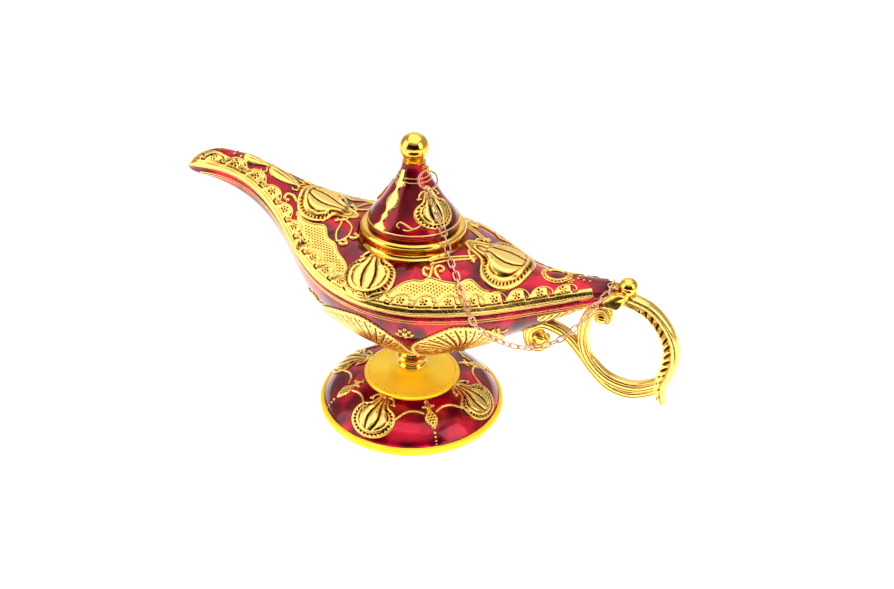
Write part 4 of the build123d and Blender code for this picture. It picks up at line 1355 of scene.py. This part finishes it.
def sprig(trim, chart, middle, line, radius, lift):
    """A small line of trim and its mirror image, either side of a flat place."""
    for side in (-1, 1):
        bent = [middle + np.array([x * side, y]) for x, y in line]
        trim.wire(chart, curve(bent), radius, lift=lift, thin_ends=True)


def make_fan(chart, name, middle, places, trim):
    """A plate with ribs that fan out from its middle, and two rows of dots near its edge."""
    middle = chart.find(middle)[0]
    outline = curve(chart.find(*places), closed=True, step=0.8)
    low, high = outline.min(axis=0) - 1, outline.max(axis=0) + 1
    relief = Relief(chart, (low[0], high[0]), (max(low[1], 0.5), high[1]), step=0.35)
    relief.plate(relief.inside(outline), height=0.35, edge=0.6)
    across, up = relief.across - middle[0], relief.up - middle[1]
    reach = np.hypot(across, up)
    turn = (np.arctan2(up, across) + fan_lean * reach) / (2 * pi) * fan_ribs
    off = turn - np.floor(turn) - 0.5  # from the nearest rib's middle, as a share of the pitch
    inner = np.clip((relief.depth - rib_edge[0]) / rib_edge[1], 0, 1)
    swell = rib_height * (dome(np.abs(off) / rib_half_share) - 0.5)
    relief.add(inner * swell * np.clip(reach / fan_eye, 0, 1))
    arc = off * 2 * pi * reach / fan_ribs
    for dot_in, radius, depth in rib_dot_rows:
        gap = np.hypot(arc * rib_dot_shape[0], (relief.depth - dot_in) * rib_dot_shape[1])
        relief.dots(gap, radius, depth)
    place_both(relief.mesh(f"near_{name}"))
    trim.wire(chart, outline, radius=0.30)
    trim.bead(chart, resampled(outline, fan_bead_pitch)[:-1], radius=0.62, lift=0.22)


def make_keel_leaves(lip):
    """A plate that tapers along the lip, cut into slanting leaves."""
    length = lip.length()
    relief = Relief(lip, (length - keel_leaf_reach, length - 1.0), (3.2, 9.5))
    down = relief.up - keel_leaf_top
    share = (length - relief.across) / keel_leaf_reach
    height = keel_leaf_heights[0] + keel_leaf_heights[1] * (1 - share)
    relief.plate(np.minimum(down, height - down), height=0.3, edge=0.6)
    slant = relief.across + keel_leaf_slant * relief.up
    relief.ridge(to_nearest(slant, keel_leaf_pitch), half_width=0.5, height=-0.3)
    place_both(relief.mesh("near_keel_leaves"))


def make_bowl_ornament():
    chart = strip(bowl, seam_edge(bowl, *fan_edge, -seam_search), fan_reach, bowl_climb)
    trim = Trim()
    for name, middle, places in fans:
        make_fan(chart, name, middle, places, trim)
    spray = chart.find(v_spray)[0]
    for x, y, radius in spray_berries:
        trim.bead(chart, [spray + np.array([x, y])], radius, lift=0.15)
    sprig(trim, chart, spray, spray_arm, 0.3, lift=0.15)
    for middle in chart.find(*bowl_flowers):
        flower(trim, chart, middle, petal_ring=1.4, petal=0.78, lift=0.15)
        sprig(trim, chart, middle, bowl_flower_leaf, 0.42, lift=0.12)
    lip = strip(bowl, seam_edge(bowl, *lip_edge, -seam_search), lip_reach, bowl_climb)
    make_keel_leaves(lip)
    for down, radius in lip_lines:
        trim.wire(lip, level_line(2.0, lip.length() - 2.0, down), radius, lift=0.02)
    trim.make_both("bowl_trim")


make_bowl_ornament()


# Handle: strap, arms, volutes and root. Places are shares of the grip's radius, from the grip's middle.

shell_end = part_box("lower_shell")[1].x / MM
seam_end = 69.7
grip = 15.0
grip_x = shell_end + 9.8
grip_z = seam_end - 20.1
strap_shares = [
    (-0.30, 1.25, 0.16), (-0.05, 1.24, 0.18), (0.40, 1.09, 0.19), (0.76, 0.77, 0.20), (1.02, 0.35, 0.21),
    (1.11, -0.10, 0.21), (1.06, -0.55, 0.20), (0.97, -0.92, 0.17), (1.01, -1.25, 0.13), (1.11, -1.50, 0.08),
]  # along, up and half thickness
inner_arm_shares = [
    (-0.66, 0.66, 0.09), (-0.54, 0.56, 0.11), (-0.52, 0.72, 0.12), (-0.70, 0.87, 0.12), (-0.98, 0.66, 0.14),
    (-1.08, 0.28, 0.15), (-1.08, -0.12, 0.15), (-0.96, -0.50, 0.15), (-0.72, -0.83, 0.15),
    (-0.38, -1.09, 0.15), (0.02, -1.20, 0.15), (0.42, -1.17, 0.14), (0.78, -0.98, 0.13), (0.95, -0.80, 0.11),
]
outer_arm_shares = [
    (-2.12, -0.26, 0.09), (-1.98, -0.40, 0.10), (-2.14, -0.66, 0.12), (-2.42, -0.58, 0.13),
    (-2.46, -0.20, 0.14), (-2.16, 0.06, 0.15), (-1.78, 0.02, 0.16), (-1.42, -0.17, 0.16),
    (-1.06, -0.55, 0.15), (-0.70, -0.98, 0.14), (-0.28, -1.32, 0.14), (0.22, -1.42, 0.13),
    (0.70, -1.24, 0.12), (0.95, -1.02, 0.10),
]
volute_shares = [(-2.18, -0.36, 0.17), (-0.70, 0.60, 0.15)]  # along, up and radius
strap_half_width = 2.7
arm_half_width = 2.1
ball_radius = 3.6
ball_x = shell_end + 7.56
ball_z = seam_end + ball_radius
root_below = 4.6  # seam's end to where the root is cut off
ball_cut_share = 0.72  # where the strap begins under the ball
handle_crease = 35.0
punch_pitch = 3.3
punch_reach = (8.0, 40.0)  # the leaf punches' way along the strap
dot_reach = 14.0  # and the dots' way after it
punch_slant = 0.9
# Across the strap, 1 is its outer edge and -1 its inner edge: each row is a middle and a half width.
roll_share = (0.38, 0.62)
band_share = (-0.45, 0.55)
leaf_share = (-0.42, 0.40)
dot_share = (0.22, 0.16)  # from the leaves' middle
groove_share = (-0.13, 0.07)
leaf_half = 0.85  # along the strap
dot_half = 0.4
arm_groove_share = (0.34, 0.085)
outer_arm_share = 0.93  # the outer arm's width, as a share of the inner one's
band_height_share = 0.74  # the band's height, as a share of the roll's
band_squareness = 6
arm_squareness = 3.2
punch_cut = 0.10  # depths, as shares of the bar's half width
groove_cut = 0.08
arm_groove_cut = 0.14


def closed_tube(rings, count):
    """The faces of a tube with so many rings of so many points, and its two ends."""
    faces = []
    for ring in range(0, (rings - 1) * count, count):
        for i in range(count):
            j = (i + 1) % count
            faces.append((ring + i, ring + j, ring + count + j, ring + count + i))
    last = (rings - 1) * count
    return faces + [tuple(range(count - 1, -1, -1)), tuple(range(last, last + count))]


def face_outwards(mesh):
    work = bmesh.new()
    work.from_mesh(mesh)
    bmesh.ops.recalc_face_normals(work, faces=work.faces)
    work.to_mesh(mesh)
    work.free()


def swept(name, shares, half_width, section, step=0.45, sides=72):
    """A tapered bar along its centre line, with round ends. The section gives, for angles round it,
    shares outwards and sideways, and the painted shade of its hollows, at each length along."""
    rows = curve([(grip_x + a * grip, grip_z + b * grip, t * grip) for a, b, t in shares], step=step)
    level = np.zeros(len(rows))
    middle = np.stack([rows[:, 0], level, rows[:, 1]], axis=1)
    heading = unit(np.gradient(middle, axis=0))
    side = np.stack([-heading[:, 2], level, heading[:, 0]], axis=1)
    lengths = np.concatenate([[0], np.cumsum(np.linalg.norm(np.diff(middle, axis=0), axis=1))])
    thickness = rows[:, 2:3]
    turn = np.linspace(0, 2 * pi, sides, endpoint=False)
    outwards, sideways, hollow = section(turn[None, :], lengths[:, None], thickness)
    to_end = np.minimum(lengths, lengths[-1] - lengths)[:, None] / thickness
    slim = np.sqrt(np.clip(1 - (1 - np.clip(to_end, 0, 1)) ** 2, 0.01, 1))
    points = middle[:, None, :] + (outwards * thickness * slim)[..., None] * side[:, None, :]
    points[..., 1] += sideways * half_width * slim
    # Painted shade from the section, for the chased gold's colour.
    recess = np.broadcast_to(hollow, outwards.shape).ravel()
    faces = closed_tube(len(rows), sides)
    bar = mesh_object(name, points.reshape(-1, 3), faces, relief_gold, recess)
    face_outwards(bar.data)
    return place(bar)


def from_middle(out, row):
    """How far a place across is from a row's middle, in its half widths."""
    return (out - row[0]) / row[1]


def squarish(share, power):
    """A cushion like dome's, and flatter on top the higher the power."""
    return np.clip(1 - np.abs(share) ** power, 0, 1) ** (1 / power)


def strap_section(turn, length, thickness):
    """A smooth roll along the outside, a punched band inside it and a fine bead on the inner edge."""
    out = np.cos(turn)
    sign = np.sign(np.sin(turn) + 1e-9)
    roll = dome(from_middle(out, roll_share))
    band = band_height_share * squarish(from_middle(out, band_share), band_squareness)
    off = to_nearest(length + punch_slant * (out * thickness), punch_pitch)
    leaf = 1 - (off / leaf_half) ** 2 - from_middle(out, leaf_share) ** 2
    dot = 1 - ((off / dot_half) ** 2 + from_middle(np.abs(out - leaf_share[0]), dot_share) ** 2)
    first, last = punch_reach
    at_leaves = (length > first) & (length < last)
    at_dots = (length >= last) & (length < last + dot_reach)
    punch = np.clip(np.where(at_leaves, leaf, np.where(at_dots, dot, -1)) * 2.5, 0, 1)
    groove = np.exp(-(from_middle(out, groove_share) ** 2))
    depth = np.maximum(roll, band) - punch_cut * punch - groove_cut * groove * (roll > 0.1)
    # The third value is painted shade: darkest in the punched leaves and dots, about half as dark in the
    # groove.
    return np.broadcast_to(out, depth.shape), sign * depth, np.maximum(punch * 0.95, groove * 0.45)


def arm_section(turn, length, thickness):
    """Three rounded flutes side by side."""
    out = np.cos(turn)
    sign = np.sign(np.sin(turn) + 1e-9)
    body = squarish(out, arm_squareness)
    groove = np.exp(-(from_middle(np.abs(out), arm_groove_share) ** 2))
    depth = body * (1 - arm_groove_cut * groove) + 0 * length
    # The third value is painted shade in the grooves between the flutes.
    return np.broadcast_to(out, depth.shape), sign * depth, 0.5 * groove + 0 * length


def make_volute(number, along, up, radius, segments=40):
    """A scroll's round eye, turned on a lathe, right across the arm."""
    middle = np.array([grip_x + along * grip, 0, grip_z + up * grip])
    r, w = radius * grip, arm_half_width
    rows = [(0.4, -w - 0.35), (0.7 * r, -w - 0.1), (r, -0.75 * w), (r, 0.75 * w), (0.7 * r, w + 0.1),
            (0.4, w + 0.35)]
    turns = [2 * pi * k / segments for k in range(segments)]
    points = [middle + (reach * cos(t), side, -reach * sin(t)) for reach, side in rows for t in turns]
    faces = closed_tube(len(rows), segments)
    place(mesh_object(f"handle_volute_{number}", points, faces, polished_gold))


def make_handle_root():
    """The root, ball and chain's eye keep the solid's shape, cut off where the strap and arms begin."""
    root = smooth_copy("handle", "handle_root", polished_gold)
    work = bmesh.new()
    work.from_mesh(root.data)
    under_seam = (0, 0, seam_end - root_below)
    under_ball = (ball_x + ball_cut_share * ball_radius, 0, ball_z - ball_cut_share * ball_radius)
    for spot, away in ((under_seam, (0, 0, -1)), (under_ball, (1, 0, -1))):
        everything = work.verts[:] + work.edges[:] + work.faces[:]
        bmesh.ops.bisect_plane(work, geom=everything, plane_co=Vector(spot) * MM, plane_no=away,
                               clear_outer=True)
        bmesh.ops.holes_fill(work, edges=[edge for edge in work.edges if edge.is_boundary])
    work.to_mesh(root.data)
    work.free()
    face_outwards(root.data)
    root.data.set_sharp_from_angle(angle=radians(handle_crease))


make_handle_root()
swept("handle_strap", strap_shares, strap_half_width, strap_section, step=0.35)
swept("handle_inner_arm", inner_arm_shares, arm_half_width, arm_section)
swept("handle_outer_arm", outer_arm_shares, arm_half_width * outer_arm_share, arm_section)
for number, shares in enumerate(volute_shares, 1):
    make_volute(number, *shares)


# Camera, at the photograph's angle. Its tilt, turn, roll and distance were fitted to the object.

camera_turn = radians(20.0)
camera_tilt = radians(31.46)
camera_roll = radians(1.71)
camera_distance = 390.67
camera_target = Vector((12.526, 4.559, 50.76))
focal_pixels = 1000.0
picture_width = 894.0
sensor_width = 36.0
to_camera = Vector((sin(camera_turn) * cos(camera_tilt), -cos(camera_turn) * cos(camera_tilt),
                    sin(camera_tilt)))
ahead = Vector((sin(camera_turn), -cos(camera_turn), 0))  # level, from the lamp to the camera's side
beside = Vector((cos(camera_turn), sin(camera_turn), 0))


def make_camera():
    right = Vector((0, 0, 1)).cross(to_camera).normalized()
    up = to_camera.cross(right)
    rolled_right = cos(camera_roll) * right + sin(camera_roll) * up
    rolled_up = -sin(camera_roll) * right + cos(camera_roll) * up
    data = bpy.data.cameras.new("camera")
    data.sensor_width = sensor_width
    data.lens = focal_pixels / picture_width * sensor_width
    data.clip_start = 0.01
    camera = new_object("camera", data)
    turn = Matrix((rolled_right, rolled_up, to_camera)).transposed().to_4x4()
    camera.matrix_world = Matrix.Translation((camera_target + camera_distance * to_camera) * MM) @ turn
    bpy.context.scene.camera = camera


make_camera()


# Studio: a pale sweep in a bright tent. Its lengths are in metres, and its edges are cosines or sines.

tent_strength = 0.48
opening_edge = (0.45, 0.62)  # the dark opening's side, from bright to dark, by the cosine to the camera
opening_top = 0.62  # sine of its upper edge, above the table
opening_blur = 0.08
panel_strength = 1.0  # a lit panel behind the lamp, which the upward faces mirror
panel_edge = (0.82, 0.94)  # its edge, from the tent to full light, by the cosine to its middle
sweep_glow = 0.58  # the sweep is lit from behind
sweep_reach = 3.0
card_height = 0.0005
card_near = 0.105
card_far = 0.34
card_half = 0.14
fill_place = (0.42 * ahead.x, 0.42 * ahead.y, 0.3)
soft_boxes = [  # name, place, aim, width and height, power
    ("tent_top", (0.0, 0.0, 0.7), (0, 0, 0.05), (0.9, 0.9), 3.2),
    ("left_box", (-0.6, -0.35, 0.35), (0, 0, 0.06), (0.5, 0.6), 1.8),
    ("right_box", (0.65, -0.15, 0.4), (0, 0, 0.06), (0.35, 0.5), 1.4),
    ("front_fill", fill_place, (0, 0, 0.02), (0.3, 0.2), 2.4),
]


def area_light(name, at, aim, size, power):
    data = bpy.data.lights.new(name, "AREA")
    data.shape = "RECTANGLE"
    data.size, data.size_y = size
    data.energy = power
    lamp = new_object(name, data)
    lamp.location = at
    lamp.rotation_euler = (Vector(aim) - Vector(at)).to_track_quat("-Z", "Y").to_euler()
    return lamp


def towards(tree, way, direction):
    """The cosine between a ray's way and a direction."""
    inputs = {0: way, 1: direction}
    return add_node(tree, "ShaderNodeVectorMath", inputs, operation="DOT_PRODUCT").outputs["Value"]


def between(tree, value, edge, low=0.0, high=1.0):
    """From low to high as the value crosses an edge."""
    inputs = {"Value": value, "From Min": edge[0], "From Max": edge[1], "To Min": low, "To Max": high}
    return add_node(tree, "ShaderNodeMapRange", inputs).outputs["Result"]


def make_world():
    """An even white tent with a dark opening low on the photographer's side and a lit panel behind
    the lamp, which the gold mirrors. The camera itself sees white paper."""
    world = bpy.data.worlds.new("studio_tent")
    world.use_nodes = True
    tree = world.node_tree
    tent = tree.nodes["Background"]
    way = add_node(tree, "ShaderNodeTexCoord").outputs["Generated"]
    height = add_node(tree, "ShaderNodeSeparateXYZ", {"Vector": way}).outputs["Z"]
    in_front = between(tree, towards(tree, way, ahead), opening_edge)
    low_down = between(tree, height, (opening_top, opening_top - opening_blur))
    opening = add_node(tree, "ShaderNodeMath", {0: in_front, 1: low_down}, operation="MULTIPLY")
    shade = ramp(tree, opening.outputs["Value"], [(0.0, "#FFFFFF"), (1.0, "#1A1210")])
    tree.links.new(shade, tent.inputs["Color"])
    behind = towards(tree, way, (-to_camera.x, -to_camera.y, to_camera.z))
    panel = between(tree, behind, panel_edge, tent_strength, panel_strength)
    tree.links.new(panel, tent.inputs["Strength"])
    seen = add_node(tree, "ShaderNodeLightPath").outputs["Is Camera Ray"]
    paper = add_node(tree, "ShaderNodeBackground", {"Color": colour("#FFFFFF"), "Strength": 1.0})
    choice = add_node(tree, "ShaderNodeMixShader", {0: seen, 1: tent.outputs[0], 2: paper.outputs[0]})
    tree.links.new(choice.outputs[0], tree.nodes["World Output"].inputs["Surface"])
    bpy.context.scene.world = world


def staged(name, corners, material):
    """A flat sheet of the studio, from its four corners in metres."""
    mesh = bpy.data.meshes.new(name)
    mesh.from_pydata(corners, [], [(0, 1, 2, 3)])
    mesh.materials.append(material)
    sheet = new_object(name, mesh)
    return sheet


def make_floor():
    """White paper that glows faintly, as a sweep lit from behind."""
    material, _, _ = new_material("white_paper_sweep", roughness=0.9, base_color=colour("#F6F5F3"),
                                  emission_color=colour("#FFFFFF"), emission_strength=sweep_glow)
    corners = [(x * sweep_reach, y * sweep_reach, 0) for x, y in ((-1, -1), (1, -1), (1, 1), (-1, 1))]
    staged("floor", corners, material)


def make_dark_card():
    """A black card that lies before the lamp, below the picture, for the gold to mirror."""
    material, _, _ = new_material("black_card", roughness=0.8, base_color=colour("#0E0B0A"))
    corners = [(card_near, -card_half), (card_near, card_half), (card_far, card_half), (card_far, -card_half)]
    corners = [ahead * a + beside * b + Vector((0, 0, card_height)) for a, b in corners]
    card = staged("dark_card", corners, material)
    card.visible_camera = False
    card.visible_diffuse = False
    card.visible_shadow = False


bpy.context.scene.view_settings.view_transform = "Standard"
make_world()
make_floor()
make_dark_card()
for box in soft_boxes:
    lamp = area_light(*box)
lamp.visible_glossy = False  # the fill only lifts the shade
